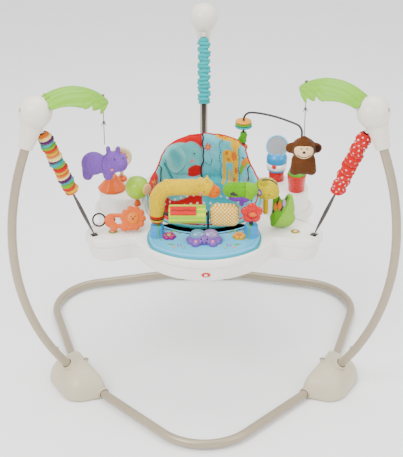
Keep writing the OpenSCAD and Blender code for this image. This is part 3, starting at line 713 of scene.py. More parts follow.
def plump(obj, voxel=5.0, pressure=4.0, cap=8.0, frames=20, smooth=2):
    """Cloth under air pressure: remesh, inflate, cap the movement, apply and subdivide once."""
    rm = obj.modifiers.new("remesh", "REMESH")
    rm.mode, rm.voxel_size = "VOXEL", voxel / 1000
    mats = list(obj.data.materials)
    freeze(obj)
    rest = coords(obj)
    cloth = obj.modifiers.new("cloth", "CLOTH")
    s = cloth.settings
    s.use_pressure, s.uniform_pressure_force = True, pressure
    s.effector_weights.gravity = 0
    s.quality, s.mass = 5, 0.3
    s.tension_stiffness = s.compression_stiffness = 12
    s.bending_stiffness = 0.4
    cloth.point_cache.frame_start, cloth.point_cache.frame_end = 1, frames
    for f in range(1, frames + 1):
        SCENE.frame_set(f)
    freeze(obj)
    SCENE.frame_set(1)
    now = coords(obj)
    move = now - rest
    length = np.linalg.norm(move, axis=1, keepdims=True)
    move *= np.minimum(1, cap / 1000 / np.maximum(length, 1e-9))
    obj.data.vertices.foreach_set("co", (rest + move).ravel())
    obj.data.update()
    if smooth:
        sm = obj.modifiers.new("smooth", "SMOOTH")
        sm.factor, sm.iterations = 0.5, smooth
    sub = obj.modifiers.new("subdivide", "SUBSURF")
    sub.levels = sub.render_levels = 1
    freeze(obj)
    obj.data.materials.clear()
    for m in mats:
        obj.data.materials.append(m)
    obj.data.shade_smooth()
    return obj


def tree(*objs):
    """One search tree over the shown shape of some pieces, in metres."""
    points, faces = [], []
    for o in objs:
        n = len(points)
        points += [o.matrix_world @ v.co for v in o.data.vertices]
        faces += [tuple(n + i for i in p.vertices) for p in o.data.polygons]
    return BVHTree.FromPolygons(points, faces)


def patch(soup, bvh, outline, at, towards, x_hint=(1, 0, 0), lift=0.5, thick=0.8, mat=0, rings=5):
    """A thin patch pressed onto a surface: the outline, in its own plane at a point, is cast along a direction."""
    place = frame_at(at, -Vector(towards), x_hint)
    down = Vector(towards).normalized()
    centre = sum(outline, Vector((0, 0, 0))) / len(outline)
    levels = [1.0 - i / rings for i in range(rings)]
    loops = []
    for k in levels:
        loop = []
        for p in outline:
            q = place(centre + (p - centre) * k)
            start = P(*(q - down * 60))
            hit, normal, _, _ = bvh.ray_cast(start, down, 0.16)
            if hit is None:
                hit, normal, _, _ = bvh.find_nearest(P(*q))
            s = Vector(((hit.x - AXIS.x) * 1000, (hit.y - AXIS.y) * 1000, hit.z * 1000))
            n = normal if normal.dot(down) < 0 else -normal
            rise = lift + thick * (1 - (k ** 6))
            loop.append(s + n * (rise if k < 1 else -0.6))
        loops.append(loop)
    points, faces = rings_mesh(loops, cap_start=False)
    soup.add(points, faces, mat)


def tacks(soup, bvh, path, stitch=5.0, gap=3.0, r=0.7, mat=0, towards=None):
    """A run of thread stitches lying on a surface along a path."""
    total = 0.0
    pts = [Vector(p) for p in path]
    runs = []
    for a, b in zip(pts, pts[1:]):
        runs.append((total, total + (b - a).length, a, b))
        total += (b - a).length

    def point(s):
        for lo, hi, a, b in runs:
            if s <= hi:
                return a.lerp(b, (s - lo) / max(hi - lo, 1e-9))
        return pts[-1]

    s = 0.0
    while s + stitch <= total:
        line = []
        for i in range(5):
            q = point(s + stitch * i / 4)
            hit, normal, _, _ = bvh.find_nearest(P(*q))
            at = Vector(((hit.x - AXIS.x) * 1000, (hit.y - AXIS.y) * 1000, hit.z * 1000))
            line.append(at + normal * (r * (1.1 if 0 < i < 4 else -0.3)))
        soup.add(*sweep(line, r, 6), mat)
        s += stitch + gap
# ---------------------------------------------------------------- hubs, feet, straps and springs

BOW_X, BOW_R, BOW_Z = -108.6, 637.0, 449.0
TOP_TILT = math.radians(20)
BOW_END = (BOW_X + BOW_R * math.cos(TOP_TILT), BOW_Z + BOW_R * math.sin(TOP_TILT))
HUB = (BOW_END[0] - 122.5 * math.sin(TOP_TILT), BOW_END[1] + 122.5 * math.cos(TOP_TILT))
HUB_R = 39.5
SPRING_TOP, STRAP_END = (436.0, 732.0), (318.0, 436.0)
SPRING_L = math.hypot(SPRING_TOP[0] - STRAP_END[0], SPRING_TOP[1] - STRAP_END[1])
COVER_L = 190.0


def radial(direction, r, z):
    """A direction in the leg's own plane: r outward and z up."""
    return pol(direction, r, z)


def on_spring(direction, length):
    """A point down the spring's line from its top, in millimetres."""
    t = length / SPRING_L
    return pol(direction, SPRING_TOP[0] + (STRAP_END[0] - SPRING_TOP[0]) * t, SPRING_TOP[1] + (STRAP_END[1] - SPRING_TOP[1]) * t)


def spring_axis(direction):
    return (on_spring(direction, 100) - on_spring(direction, 0)).normalized()


def hub(direction, side):
    soup = Soup()
    at = pol(direction, *HUB)
    axis = radial(direction, -math.sin(TOP_TILT), math.cos(TOP_TILT))
    neck = [(12.2, -84), (12.2, -88), (15.5, -88.4)] + arc_profile(15.9, -86.6, 1.8, -80, 0, 4)
    neck += [(17.9 + 7.6 * k / 10, -84 + 48 * k / 10) for k in range(11)]
    neck += [(26.6, -33.4), (27.3, -32.2), (26.5, -31.4), (26.5, -30.4), (27.6, -30.0)]
    low = math.degrees(math.asin(-28.6 / HUB_R))
    ball = [(max(0.15, HUB_R * math.cos(math.radians(a))), HUB_R * math.sin(math.radians(a))) for a in np.linspace(low, 89.8, 30)]
    soup.add(*lathe(neck + ball, at, axis, 72))
    eye = pol(direction, *SPRING_TOP)
    soup.add(*lathe([(2.5, -3.5), (5, -3.2), (6, -2), (6, 8), (6.8, 12), (8.5, 16), (8.5, 24)], eye, -spring_axis(direction), 32))
    ring = [at + (pol(direction, 0, 0, 1) * math.cos(a) + radial(direction, -math.sin(TOP_TILT), math.cos(TOP_TILT)).cross(pol(direction, 0, 0, 1)) * math.sin(a)) * HUB_R for a in np.linspace(0, 2 * math.pi, 97)[:-1]]
    soup.add(*sweep(ring, 0.45, 6, closed=True, caps=False))
    cap = radial(direction, math.cos(TOP_TILT), math.sin(TOP_TILT))
    soup.add(*lathe([(9.5, HUB_R - 1.6), (9.5, HUB_R - 0.4)] + arc_profile(8.3, HUB_R - 0.6, 1.0, 0, 90, 3) + [(6, HUB_R + 0.5), (5.4, HUB_R - 0.6), (5.0, HUB_R - 2.2), (0.2, HUB_R - 2.3)], at, cap, 40))
    soup.piece("hub_shell_" + side, MAT["hub"], "frame", "hub_shell", ["hub_" + side])
    # the dark plates round the leaf clip tabs stand for the clip slots' openings: painted shade in the slots
    slots = Soup()
    clip = radial(direction, -math.sin(math.radians(40)), math.cos(math.radians(40)))
    for shift in (-9, 9) if side != "rear" else ():
        place = frame_at(at, clip, pol(direction, 0, 0, 1))
        ring = [Vector((shift + 5.2 * max(-1, min(1, 1.4 * math.cos(a))), 3.2 * math.sin(a), 0)) for a in np.linspace(0, 2 * math.pi, 25)[:-1]]
        slots.add(*plate(ring, [(0, HUB_R - 5), (0, HUB_R - 0.9), (0.5, HUB_R - 0.2)], place))
    if slots.points:
        slots.piece("hub_clip_slot_shade_" + side, MAT["dark"], "frame", "hub_shell")


def foot(direction, side):
    lobes = [(351, 78, 14), (390, 34, 48), (390, -34, 48), (351, -78, 14)]
    outline = []
    for k in range(360):
        a = math.radians(k)
        x, y, r = max(lobes, key=lambda c: c[0] * math.cos(a) + c[1] * math.sin(a) + c[2])
        outline.append((x + r * math.cos(a), y + r * math.sin(a)))
    outline = soft_outline(outline, 3.0, 3.0)
    mid, top = Vector((367, 0, 0)), 70.0
    rings = []
    levels = [(3.0, 0.965), (3.6, 0.985), (5.0, 0.996), (7.0, 1.0)]
    levels += [(z, (1 - ((z - 7) / 63.05) ** 2.3) ** 0.46) for z in list(np.linspace(9, 60, 18)) + [63, 65.5, 67.3, 68.6, 69.4, 69.85, 70.0]]
    for z, k in levels:
        rings.append([pol(direction, mid.x + (p.x - mid.x) * k, z, p.y * (k ** 0.85)) for p in outline])
    soup = Soup().add(*rings_mesh(rings))
    bend = math.radians(-37.2)
    exit_at = pol(direction, BOW_X + BOW_R * math.cos(bend), BOW_Z + BOW_R * math.sin(bend))
    bow = radial(direction, -math.sin(bend), math.cos(bend))
    soup.add(*lathe([(24, -14), (19.5, -4), (16.6, 3), (15.4, 9), (15.0, 12)] + arc_profile(13.6, 12.4, 1.4, 0, 90, 4) + [(11.5, 13.8), (11.3, 4)], exit_at, bow, 48, caps=(False, False)))
    for s in (-1, 1):
        mouth = pol(direction, 349, 17, s * 84)
        soup.add(*lathe([(13.6, -10), (13.9, 3), (13.7, 8)] + arc_profile(12.7, 9, 1.0, 0, 90, 3) + [(11.4, 10), (11.25, 2)], mouth, pol(direction, 0, 0, s), 40, caps=(False, False)))
    z_top = 69.4
    soup.add(*lathe([(7.6, -3)] + arc_profile(6.6, 0.2, 1.0, 0, 100, 4) + [(5.2, -0.4), (5.0, -6)], pol(direction, 354, z_top), (0, 0, 1), 32, caps=(False, False)))
    soup.piece("foot_shell_" + side, MAT["foot"], "frame", "foot_shell", ["foot_" + side])
    # dark rings in the gaps round the tubes at the socket mouths, and a dark disc on the floor of the screw well:
    # painted shade in these gaps
    dark = Soup()
    dark.add(*lathe([(5.1, -2.6), (0.2, -2.6)], pol(direction, 354, z_top + 1.5), (0, 0, 1), 24, caps=(False, True)))
    for s in (-1, 1):
        dark.add(*lathe([(12.4, 5), (12.4, 10.3), (11.1, 10.3)], pol(direction, 349, 17, s * 84), pol(direction, 0, 0, s), 40, caps=(False, False)))
    dark.add(*lathe([(12.6, 6), (12.6, 14.0), (11.1, 14.0)], exit_at, bow, 40, caps=(False, False)))
    dark.piece("foot_gap_shade_" + side, MAT["rubber"], "frame", "rubber")
    screw = Soup()
    head = pol(direction, 354, z_top - 0.8)
    screw.add(*lathe([(4.1, -2), (4.1, -0.6), (3.6, 0.1), (2.4, 0.5), (0.2, 0.6)], head, (0, 0, 1), 24))
    place = frame_at(head, (0, 0, 1), pol(direction, 1, 0))
    for turn in (0, 90):
        a = math.radians(turn)
        bar = [Vector((x * math.cos(a) - y * math.sin(a), x * math.sin(a) + y * math.cos(a), 0)) for x, y in ((-2.6, -0.5), (2.6, -0.5), (2.6, 0.5), (-2.6, 0.5))]
        screw.add(*plate(bar, [(0, 0.1), (0, 0.75)], place))
    screw.piece("foot_screw_" + side, MAT["steel"], "frame", "steel", smooth=False)


def strap(direction, side):
    """The strap between the cover and the tray: a flat tape with sewn ends."""
    half, thick = 6.0, 1.25
    across = pol(direction, 0, 0, 1)
    rings = []
    for length in np.linspace(COVER_L - 6, SPRING_L + 25, 60):
        p = on_spring(direction, length)
        turn = (-0.6 if side == "right" else 0.6) * math.sin((length - COVER_L) / (SPRING_L - COVER_L) * math.pi)
        w = across * math.cos(turn) + across.cross(spring_axis(direction)) * math.sin(turn)
        n = w.cross(spring_axis(direction))
        ring = []
        for a in np.linspace(0, 2 * math.pi, 21)[:-1]:
            c, s = math.cos(a), math.sin(a)
            ring.append(p + w * (half * math.copysign(abs(c) ** 0.35, c)) + n * (thick * math.copysign(abs(s) ** 0.8, s)))
        rings.append(ring)
    soup = Soup().add(*rings_mesh(rings))
    end = on_spring(direction, SPRING_L + 26)
    place = frame_at(end, spring_axis(direction), across)
    bar = [Vector((x, y, 0)) for x, y in ((-10, -6), (10, -6), (10, 6), (-10, 6))]
    soup.add(*plate(soft_outline(bar, 1.0, 1.2), round_levels(0, 4, 1.2), place))
    soup.piece("strap_tape_" + side, MAT["webbing"], "tray", "webbing", ["straps"])
    thread = Soup()
    for shift in (-3.6, 3.6):
        for k in range(9):
            a, b = (on_spring(direction, COVER_L + 6 + k * 4.5 + d) for d in (0, 2.8))
            n = across.cross(spring_axis(direction)) * 1.3
            thread.add(*sweep([a + across * shift - n, (a + b) / 2 + across * shift - n * 1.15, b + across * shift - n], 0.35, 5))
    thread.piece("strap_stitches_" + side, MAT["cord"], "tray", "webbing")


def coil(direction, side):
    turns, r, wire = 16, 9.0, 1.5
    d = spring_axis(direction)
    x, y, _ = basis(d)
    path = []
    for k in range(turns * 20 + 1):
        a = 2 * math.pi * k / 20
        path.append(on_spring(direction, 8 + (COVER_L - 18) * k / (turns * 20)) + x * (r * math.cos(a)) + y * (r * math.sin(a)))
    hook = [on_spring(direction, -1), on_spring(direction, 3), on_spring(direction, 6) + x * 5]
    obj = Soup().add(*sweep(hook + path, wire, 8)).piece("coil_" + side, MAT["steel"], None, "steel", ["coil_springs"])
    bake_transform(obj)


RAINBOW = (0xF0862B, 0xF6E3A1, 0x5B2B63, 0x2FB2AE, 0x7DB63C, 0xD8372A, 0xF2C33B)


def cover(direction, side, style):
    """A gathered sleeve over the spring, with its folds squeezed into puffs."""
    rng = random.Random(direction)
    d = spring_axis(direction)
    x, y, _ = basis(d, pol(direction, 0, 0, 1))
    period, puff, sway = {"bands": (8.4, 4.6, 1.7), "dots": (13.5, 5.2, 2.6), "plain": (11.0, 4.6, 2.0)}[style]
    count = int((COVER_L - 8) / period) + 2
    lean = [(rng.uniform(0.6, 1.3) * sway * (1 if i % 2 else -1), rng.uniform(-1, 1) * sway, rng.uniform(0, 6.28), rng.uniform(0.75, 1.12)) for i in range(count)]
    segments, wall = 72, 1.2
    rings, marks = [[], []], [[], []]
    for length in np.arange(5.0, COVER_L + 0.1, 1.15):
        u = (length - 5.0) / period
        i = int(u)
        f = u - i
        a0, a1 = lean[i], lean[min(i + 1, count - 1)]
        k = f * f * (3 - 2 * f)
        ends = min(1.0, (length - 3.0) / 14.0, (COVER_L - length + 5) / 12.0)
        sx, sy = (a0[j] * (1 - k) + a1[j] * k for j in (0, 1))
        swell = puff * math.sin(math.pi * f) ** 0.75 * a0[3]
        for layer in (0, 1):
            ring = []
            for j in range(segments):
                a = 2 * math.pi * j / segments
                gathers = 0.75 * math.sin(15 * a + a0[2] + 2.2 * f) + 0.5 * math.sin(23 * a - a0[2] * 2 - 3 * f)
                slant = 0.5 + 0.5 * math.sin(a + a0[2])
                r = 13.2 * (0.62 + 0.38 * ends) + swell * (0.75 + 0.45 * slant) * ends + gathers * (0.5 + 0.5 * math.sin(math.pi * f))
                r = min(r, 20.8) - layer * wall
                ring.append(on_spring(direction, length + 1.4 * math.sin(a + a0[2]) * ends * (1 if COVER_L - length > 6 else 0)) + x * (r * math.cos(a) + sx * ends) + y * (r * math.sin(a) + sy * ends))
                marks[layer].append((length, a, u))
            rings[layer].append(ring)
    points, faces = rings_mesh(rings[0] + rings[1][::-1], closed=True)
    obj = add_piece("cover_" + side, points, faces, COVER_MAT[style], None, ["spring_covers"])
    inner = [marks[1][k:k + segments] for k in range(0, len(marks[1]), segments)]
    marks = marks[0] + [q for ring in reversed(inner) for q in ring]
    m = np.array(marks)
    ink = Print(len(m), {"bands": RAINBOW[0], "dots": 0xDF2A20, "plain": 0x45BFC0}[style])
    if style == "bands":
        for i in range(count):
            ink.lay(np.abs(m[:, 2] - i - 0.5) * period - period / 2, RAINBOW[i % len(RAINBOW)], 0.7)
    if style == "dots":
        arc = m[:, 1] * 17
        spots = np.full(len(m), 1e9)
        pitch = 2 * math.pi * 17 / 7
        for row in range(int(COVER_L / 12.0) + 1):
            shift = pitch * (0.5 if row % 2 else 0)
            du = (arc - shift + pitch / 2) % pitch - pitch / 2
            spots = np.minimum(spots, np.hypot(du, m[:, 0] - row * 12.0) - 1.7)
        ink.lay(spots, 0xFBF4EE, 0.6)
    if style == "plain":
        # on the plain sleeve, a darker teal band at each pinch between puffs: painted shade in the creases
        ink.lay(np.abs(m[:, 2] - np.round(m[:, 2])) * period - 0.9, 0x2B9FA6, 1.4)
    paint(obj, ink.c)
    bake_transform(obj)


COVER_MAT = {"bands": woven("cover_bands", printed=True, pitch=2600, crease=0.5), "dots": woven("cover_dots", printed=True, pitch=2600, crease=0.5), "plain": woven("cover_plain", printed=True, pitch=2600, crease=0.5)}


# ---------------------------------------------------------------- leaves and hanging cords

def leaf(direction, side, droop):
    mid, bend_r, root = (346.0, 708.0), 134.0, Vector((430.0, 0, 812.0))
    turn = Matrix.Rotation(math.radians(droop), 3, "Y")
    lobes = 6

    def skin(s, t, under):
        """s runs from the root to the tip, t from -1 to 1 across."""
        a = math.radians(50.5 + 78.5 * s)
        width = 37 + 16 * min(1.0, s / 0.5)
        if s > 0.84:
            width *= math.sqrt(max(0.02, 1 - ((s - 0.84) / 0.165) ** 2))
        saw = (s * lobes) % 1
        width *= 1 - 0.16 * saw ** 2 * float(smoothstep(np.array(s), 0.4, 0.7))
        y = t * width
        fold = abs(math.cos(math.pi * 3.5 * t * (0.75 + 0.25 * s)))
        thick = 2.6 - 1.2 * abs(t) ** 3
        r = bend_r - 0.0125 * y * y - 3.2 * (1 - fold) ** 3 - 1.2 * (1 - fold)
        r -= thick if under else 0
        local = Vector((mid[0] + r * math.cos(a), y, mid[1] + r * math.sin(a)))
        local = turn @ (local - root) + root
        return pol(direction, local.x, local.z, local.y)

    rings = []
    across = list(np.linspace(-1, 1, 41))
    for s in np.linspace(0.0, 1.0, 120):
        rings.append([skin(s, t, False) for t in across] + [skin(s, t, True) for t in reversed(across)])
    soup = Soup().add(*rings_mesh(rings))
    at = pol(direction, *HUB)
    clip = radial(direction, -math.sin(math.radians(40)), math.cos(math.radians(40)))
    place = frame_at(at, clip, pol(direction, 0, 0, 1))
    for shift in (-9, 9):
        tab = [Vector((x + shift, y, 0)) for x, y in ((-3.6, -1.8), (3.6, -1.8), (3.6, 1.8), (-3.6, 1.8))]
        soup.add(*plate(soft_outline(tab, 0.8, 0.6), round_levels(HUB_R - 5, HUB_R + 9, 1.0), place))
    soup.piece("palm_leaf_" + side, MAT["leaf"], "frame", "leaf_green", ["leaf_" + side])


def hang_cord(direction, side, top, bottom):
    """The cord from the leaf's tip to the toy, with a knot partway down and one above the leaf."""
    path = [pol(direction, 276, z) for z in np.linspace(top, bottom, 25)]
    obj = Soup().add(*sweep(path, 1.0, 8, hint=(1, 0, 0))).piece("toy_cord_" + side, MAT["cord"], "cord_" + side, "cord", ["hang_cord_" + side])
    knots = Soup()
    loop = [pol(direction, 276, top - 64) + Vector((2.3 * math.cos(2 * a), 2.3 * math.sin(2 * a) * 0.9, 2.6 * math.sin(3 * a))) for a in np.linspace(0, 2 * math.pi, 73)[:-1]]
    knots.add(*sweep(loop, 1.15, 8, closed=True, caps=False))
    for s in (-1, 1):
        tail = [pol(direction, 276, top - 64) + Vector((s * 2, -1, -1)), pol(direction, 276, top - 64) + Vector((s * 4.5, -2, -3.5)), pol(direction, 276, top - 64) + Vector((s * 5.2, -2.5, -7))]
        knots.add(*sweep(spline(tail, 8), 0.8, 6))
    knot = knots.piece("cord_knot_" + side, MAT["cord"], "cord_" + side, "cord")
    stop = Soup()
    rise = [pol(direction, 276, top + 2) + Vector((3.0 * math.cos(2 * a), 3.0 * math.sin(2 * a), 3.2 + 1.6 * math.sin(3 * a))) for a in np.linspace(0, 2 * math.pi, 73)[:-1]]
    stop.add(*sweep(rise, 1.1, 8, closed=True, caps=False))
    stop.piece("leaf_knot_" + side, MAT["cord"], "frame", "cord")


for direction, side in SIDES:
    hub(direction, side)
    foot(direction, side)
    strap(direction, side)
    coil(direction, side)
cover(LEFT, "left", "bands")
cover(RIGHT, "right", "dots")
cover(REAR, "rear", "plain")
leaf(LEFT, "left", -12)
leaf(RIGHT, "right", 0)
hang_cord(LEFT, "left", 783, 662)
hang_cord(RIGHT, "right", 818, 682)

# ---------------------------------------------------------------- tray and front panel

SEAT_HOLE = 138.0
RISER_AT, RISER_R, RISER_CUT, RISER_H = (205.0, 10.0), 78.0, 157.0, 50.0


def tray_reach():
    """Distance from the axis to the tray's edge, by degree, with the corners between its lobes eased."""
    n = 1440
    a = np.radians(np.arange(n) * 360 / n)
    c, s = np.cos(a), np.sin(a)

    def circle(x, y, r):
        along = x * c + y * s
        off = x * s - y * c
        inside = r * r - off * off
        return np.where((inside > 0), along + np.sqrt(np.maximum(inside, 0)), 0)

    reach = np.full(n, 232.0)
    reach = np.maximum(reach, circle(0, -107, 185))
    for m in (-1, 1):
        reach = np.maximum(reach, circle(m * RISER_AT[0], RISER_AT[1], RISER_R))
    for side in (LEFT, RIGHT, REAR):
        b = math.radians(side)
        ux, uy = math.cos(b), math.sin(b)
        along, off = c * ux + s * uy, c * uy - s * ux
        straight = np.where(along > 0, np.minimum(54 / np.maximum(np.abs(off), 1e-6), 280 / np.maximum(along, 1e-6)), 0)
        reach = np.maximum(reach, np.where(straight * along <= 280.01, straight, 0))
        reach = np.maximum(reach, circle(280 * ux, 280 * uy, 54))
    sigma = 1.9 / (360 / n)
    half = int(3 * sigma)
    w = np.exp(-0.5 * (np.arange(-half, half + 1) / sigma) ** 2)
    w /= w.sum()
    padded = np.concatenate([reach[-half:], reach, reach[:half]])
    return np.convolve(padded, w, "valid")[::3]


REACH = tray_reach()
TURNS = len(REACH)


def deck_height(x, y):
    """The two raised stands for toys, on a flat deck."""
    r = math.hypot(x, y)
    rise = 0.0
    for m in (-1, 1):
        d = min(RISER_R - math.hypot(x - m * RISER_AT[0], y - RISER_AT[1]), r - RISER_CUT)
        t = max(0.0, min(1.0, d / 9.0))
        rise = max(rise, RISER_H * t * t * (3 - 2 * t))
    return DECK + rise


def tray():
    soup = Soup()
    angles = [2 * math.pi * i / TURNS for i in range(TURNS)]
    rings = []

    def ring(radius, height):
        rings.append([Vector((radius(i) * math.cos(a), radius(i) * math.sin(a), height(radius(i) * math.cos(a), radius(i) * math.sin(a)))) for i, a in enumerate(angles)])

    flat = lambda z: (lambda x, y: z)
    for r, z in [(142, 394.6), (141.4, 394), (138.6, 394), (138, 394.6), (138, 420), (138, 422.6), (138.6, 423.6), (139.6, 424)]:
        ring(lambda i, r=r: r, flat(z))
    steps = 52
    for k in range(1, steps + 1):
        t = k / steps
        ring(lambda i, t=t: 142 + (REACH[i] - 15 - 142) * t, deck_height)
    rim = [(14, -1.2), (12.6, -2.0), (11.2, -1.4), (10, 0.2), (8.6, 1.6), (6.8, 2.3), (5, 2.2), (3.2, 1.2), (1.6, -0.8), (0.5, -3.4), (0, -7),
           (0.2, -14), (1.0, -17), (2.6, -18.6), (4.4, -19.4), (5.2, -20.6), (5.6, -23), (7.2, -34), (9.4, -46), (11.8, -55), (12.6, -57.6), (13.6, -58.6), (14.8, -58.8), (15.8, -58), (15.6, -54), (12.6, -40), (9.4, -23), (9.0, -12), (13, -5.5), (18, -4)]
    for by, dz in rim:
        ring(lambda i, by=by: REACH[i] - by, flat(DECK + dz))
    for k in range(1, 9):
        ring(lambda i, k=k: REACH[i] - 18 + (142 - REACH[i] + 18) * k / 8, lambda x, y: deck_height(x, y) - 4)
    soup.add(*rings_mesh(rings, closed=True))
    tray_obj = soup.piece("tray_shell_moulded", MAT["white"], "tray", "tray_white", ["tray_shell"])

    # dark plates set in the three strap slots: painted shade in the slot openings
    dark = Soup()
    for direction in (LEFT, RIGHT, REAR):
        place = lambda p, d=direction: pol(d, p[0], p[2], p[1])
        slot_line = [Vector((x, y, 0)) for x, y in ((305, -9), (321, -9), (321, 9), (305, 9))]
        dark.add(*plate(soft_outline(slot_line, 1.5, 2.0), [(0, DECK - 0.5), (0, DECK + 0.5), (0.6, DECK + 0.9)], place))
    dark.piece("strap_slot_shade", MAT["dark"], "tray", "dark_plastic")
    bezel = Soup()
    for direction in (LEFT, RIGHT, REAR):
        outer = soft_outline([(300, -14), (326, -14), (326, 14), (300, 14)], 1.5, 3.0)
        inner = soft_outline([(304.5, -9.5), (321.5, -9.5), (321.5, 9.5), (304.5, 9.5)], 1.5 * 0.64, 2.0)
        n = len(outer)
        inner = resample([(p.x, p.y) for p in inner], sum((inner[(i + 1) % len(inner)] - p).length for i, p in enumerate(inner)) / n)[:n]
        loops = []
        for line, z in ((outer, DECK - 1), (outer, DECK + 1.6), (inset(outer, 1.2), DECK + 2.6), (inset(inner, -1), DECK + 2.6), (inner, DECK + 1.8), (inner, DECK - 1)):
            loops.append([pol(direction, p.x, z, p.y) for p in line[:len(inner)]])
        if len(outer) == len(inner):
            bezel.add(*rings_mesh(loops, closed=True))
    if bezel.points:
        bezel.piece("strap_bezels", MAT["white"], "tray", "tray_white")

    # a round seat track, which the ring turns in
    track = Soup()
    track.add(*lathe([(150.8, 423), (151.2, 425.6), (152.6, 427.2), (154.4, 427.4), (156, 426.2), (156.8, 424.2), (156.8, 423)], (0, 0, 0), (0, 0, 1), 160, caps=(False, False)))
    track.piece("seat_track", MAT["white"], "tray", "tray_white")

    # generic sun decals on the two front arms
    decal = Soup()
    bvh = tree(tray_obj)
    for direction in (LEFT, RIGHT):
        at = pol(direction, 262, DECK, 0)
        at = Vector((at.x * 1.0, at.y - 6, DECK))
        patch(decal, bvh, disc_outline(13), at, (0, 0, -1), lift=0.25, thick=0.3, mat=0)
        sun = [Vector((r * math.cos(a), r * math.sin(a), 0)) for a, r in ((2 * math.pi * k / 96, 9.2 + 1.6 * math.cos(12 * 2 * math.pi * k / 96)) for k in range(96))]
        patch(decal, bvh, sun, at, (0, 0, -1), lift=0.55, thick=0.3, mat=1)
        patch(decal, bvh, disc_outline(5.6), at, (0, 0, -1), lift=0.85, thick=0.3, mat=2)
    decal.piece("arm_decals", [MAT["green"], MAT["orange"], MAT["cream"]], "tray", "tray_white")

    # a small plain badge on the front skirt
    badge = Soup()
    front = -107 - 185 + 8.0
    place = frame_at((4, front + 0.2, DECK - 39), (0, -1, -0.16))
    shield = disc_outline(11.0, 48, 0.62)
    badge.add(*plate(shield, [(0, -3), (0, 1.2), (0.5, 1.8), (1.2, 2.0)], place), 0)
    bloom = [Vector((r * math.cos(a), r * math.sin(a), 0)) for a, r in ((2 * math.pi * k / 60, 3.6 + 1.2 * math.cos(5 * 2 * math.pi * k / 60)) for k in range(60))]
    badge.add(*plate(bloom, [(0, 1.5), (0.1, 2.5), (0.6, 2.9)], place), 1)
    badge.piece("skirt_badge", [MAT["red"], MAT["white"]], "tray", "red_plastic")
    return tray_obj


def panel_outline(front_r, side_r, back_r):
    """The front panel in plan: a lens of two circles with a bite out of it for the seat."""
    pts = []
    for k in range(720):
        a = math.radians(k / 2)
        c, s = math.cos(a), math.sin(a)
        best = 400.0
        for x, y, r in ((0, -107, front_r), (0, -170, side_r)):
            px, py = -x, -y - 200
            b = -(px * c + py * s)
            best = min(best, b + math.sqrt(max(0, b * b - (px * px + py * py - r * r))))
        px, py = 0, -200
        b = -(px * c + py * s)
        disc = b * b - (px * px + py * py - back_r * back_r)
        if disc > 0 and b > 0:
            hit = b - math.sqrt(disc)
            best = min(best, hit) if hit > 0 else best
        pts.append((best * c, -200 + best * s))
    return soft_outline(pts, 2.5, 5.0)


POST = (115.0, -176.0)
POST_TOP = 466.0


def front_panel():
    soup = Soup()
    outline = panel_outline(178, 141, 158)
    soup.add(*plate(outline, [(0, DECK + 0.4), (0, DECK + 3.2), (0.7, DECK + 4.4), (2.2, DECK + 5.0), (4.6, DECK + 5.0)]), 1)
    soup.add(*plate(outline, [(4.4, DECK + 3)] + [(by + 4.4, z) for by, z in ((0, DECK + 5.4), (0.2, DECK + 8.2), (1.0, DECK + 10.4), (2.4, DECK + 11.6), (4.2, DECK + 12), (7.5, DECK + 12), (8.5, DECK + 11.1), (10.5, DECK + 10.8), (12, DECK + 11.2))]), 0)
    for s in (-1, 1):
        profile = [(20, DECK + 10), (19.2, DECK + 13), (18.4, DECK + 14), (17.6, DECK + 20), (16.4, POST_TOP - 8), (16.2, POST_TOP - 3), (15.2, POST_TOP - 0.8), (13.4, POST_TOP), (0.3, POST_TOP)]
        facet = lambda a, r, h: r * (0.965 + 0.055 * abs(math.cos(4 * a)) ** 0.5)
        soup.add(*lathe(profile, (s * POST[0], POST[1], 0), (0, 0, 1), 64, radius=facet), 2)
    panel = soup.piece("front_panel_moulded", [MAT["blue"], MAT["teal"], MAT["sky"]], "tray", "panel_blue", ["front_panel"])
    bvh = tree(panel)
    # printed leaves and blossoms beside the buttons, all generic
    art = Soup()
    for s, colour in ((-1, 0), (1, 2)):
        for k, (x, y, r, m) in enumerate(((60, -228, 7.5, 0), (50, -240, 5.5, 1), (72, -238, 5.0, 2), (104, -200, 5.5, 1), (112, -160, 6.5, 2), (62, -166, 5.0, 1), (96, -150, 4.6, 0))):
            line = [Vector((q * math.cos(a), q * math.sin(a), 0)) for a, q in ((2 * math.pi * j / 60, r * (0.8 + 0.2 * math.cos((5 + k % 2) * 2 * math.pi * j / 60))) for j in range(60))]
            patch(art, bvh, line, (s * x, y, DECK + 12), (0, 0, -1), lift=0.3, thick=0.35, mat=m)
            patch(art, bvh, disc_outline(r * 0.34), (s * x, y, DECK + 12.5), (0, 0, -1), lift=0.65, thick=0.3, mat=3)
        leaf_line = [Vector((13 * t, 4.2 * math.sin(math.pi * (t + 1) / 2) * w, 0)) for t, w in [(q, 1) for q in np.linspace(-1, 1, 16)] + [(q, -1) for q in np.linspace(1, -1, 16)[1:-1]]]
        for x, y, turn in ((80, -224, 20), (112, -184, 80), (76, -156, -30)):
            r = Matrix.Rotation(math.radians(turn * s), 3, "Z")
            patch(art, bvh, [r @ p for p in leaf_line], (s * x, y, DECK + 12), (0, 0, -1), lift=0.25, thick=0.3, mat=1)
    art.piece("panel_print", [MAT["purple"], MAT["green"], MAT["orange"], MAT["cream"]], "tray", "panel_blue")
    # speaker slots at the back edge, between the posts
    grille = Soup()
    for k in range(-3, 4):
        bar = soft_outline([(k * 7 - 1.6, -172), (k * 7 - 1.6, -162), (k * 7 + 1.6, -162), (k * 7 + 1.6, -172)], 0.7, 0.9)
        grille.add(*plate(bar, [(0, DECK + 10), (0, DECK + 12.15), (0.3, DECK + 12.3)]), 0)
    grille.piece("speaker_slots", MAT["teal"], "tray", "panel_blue")
    return panel


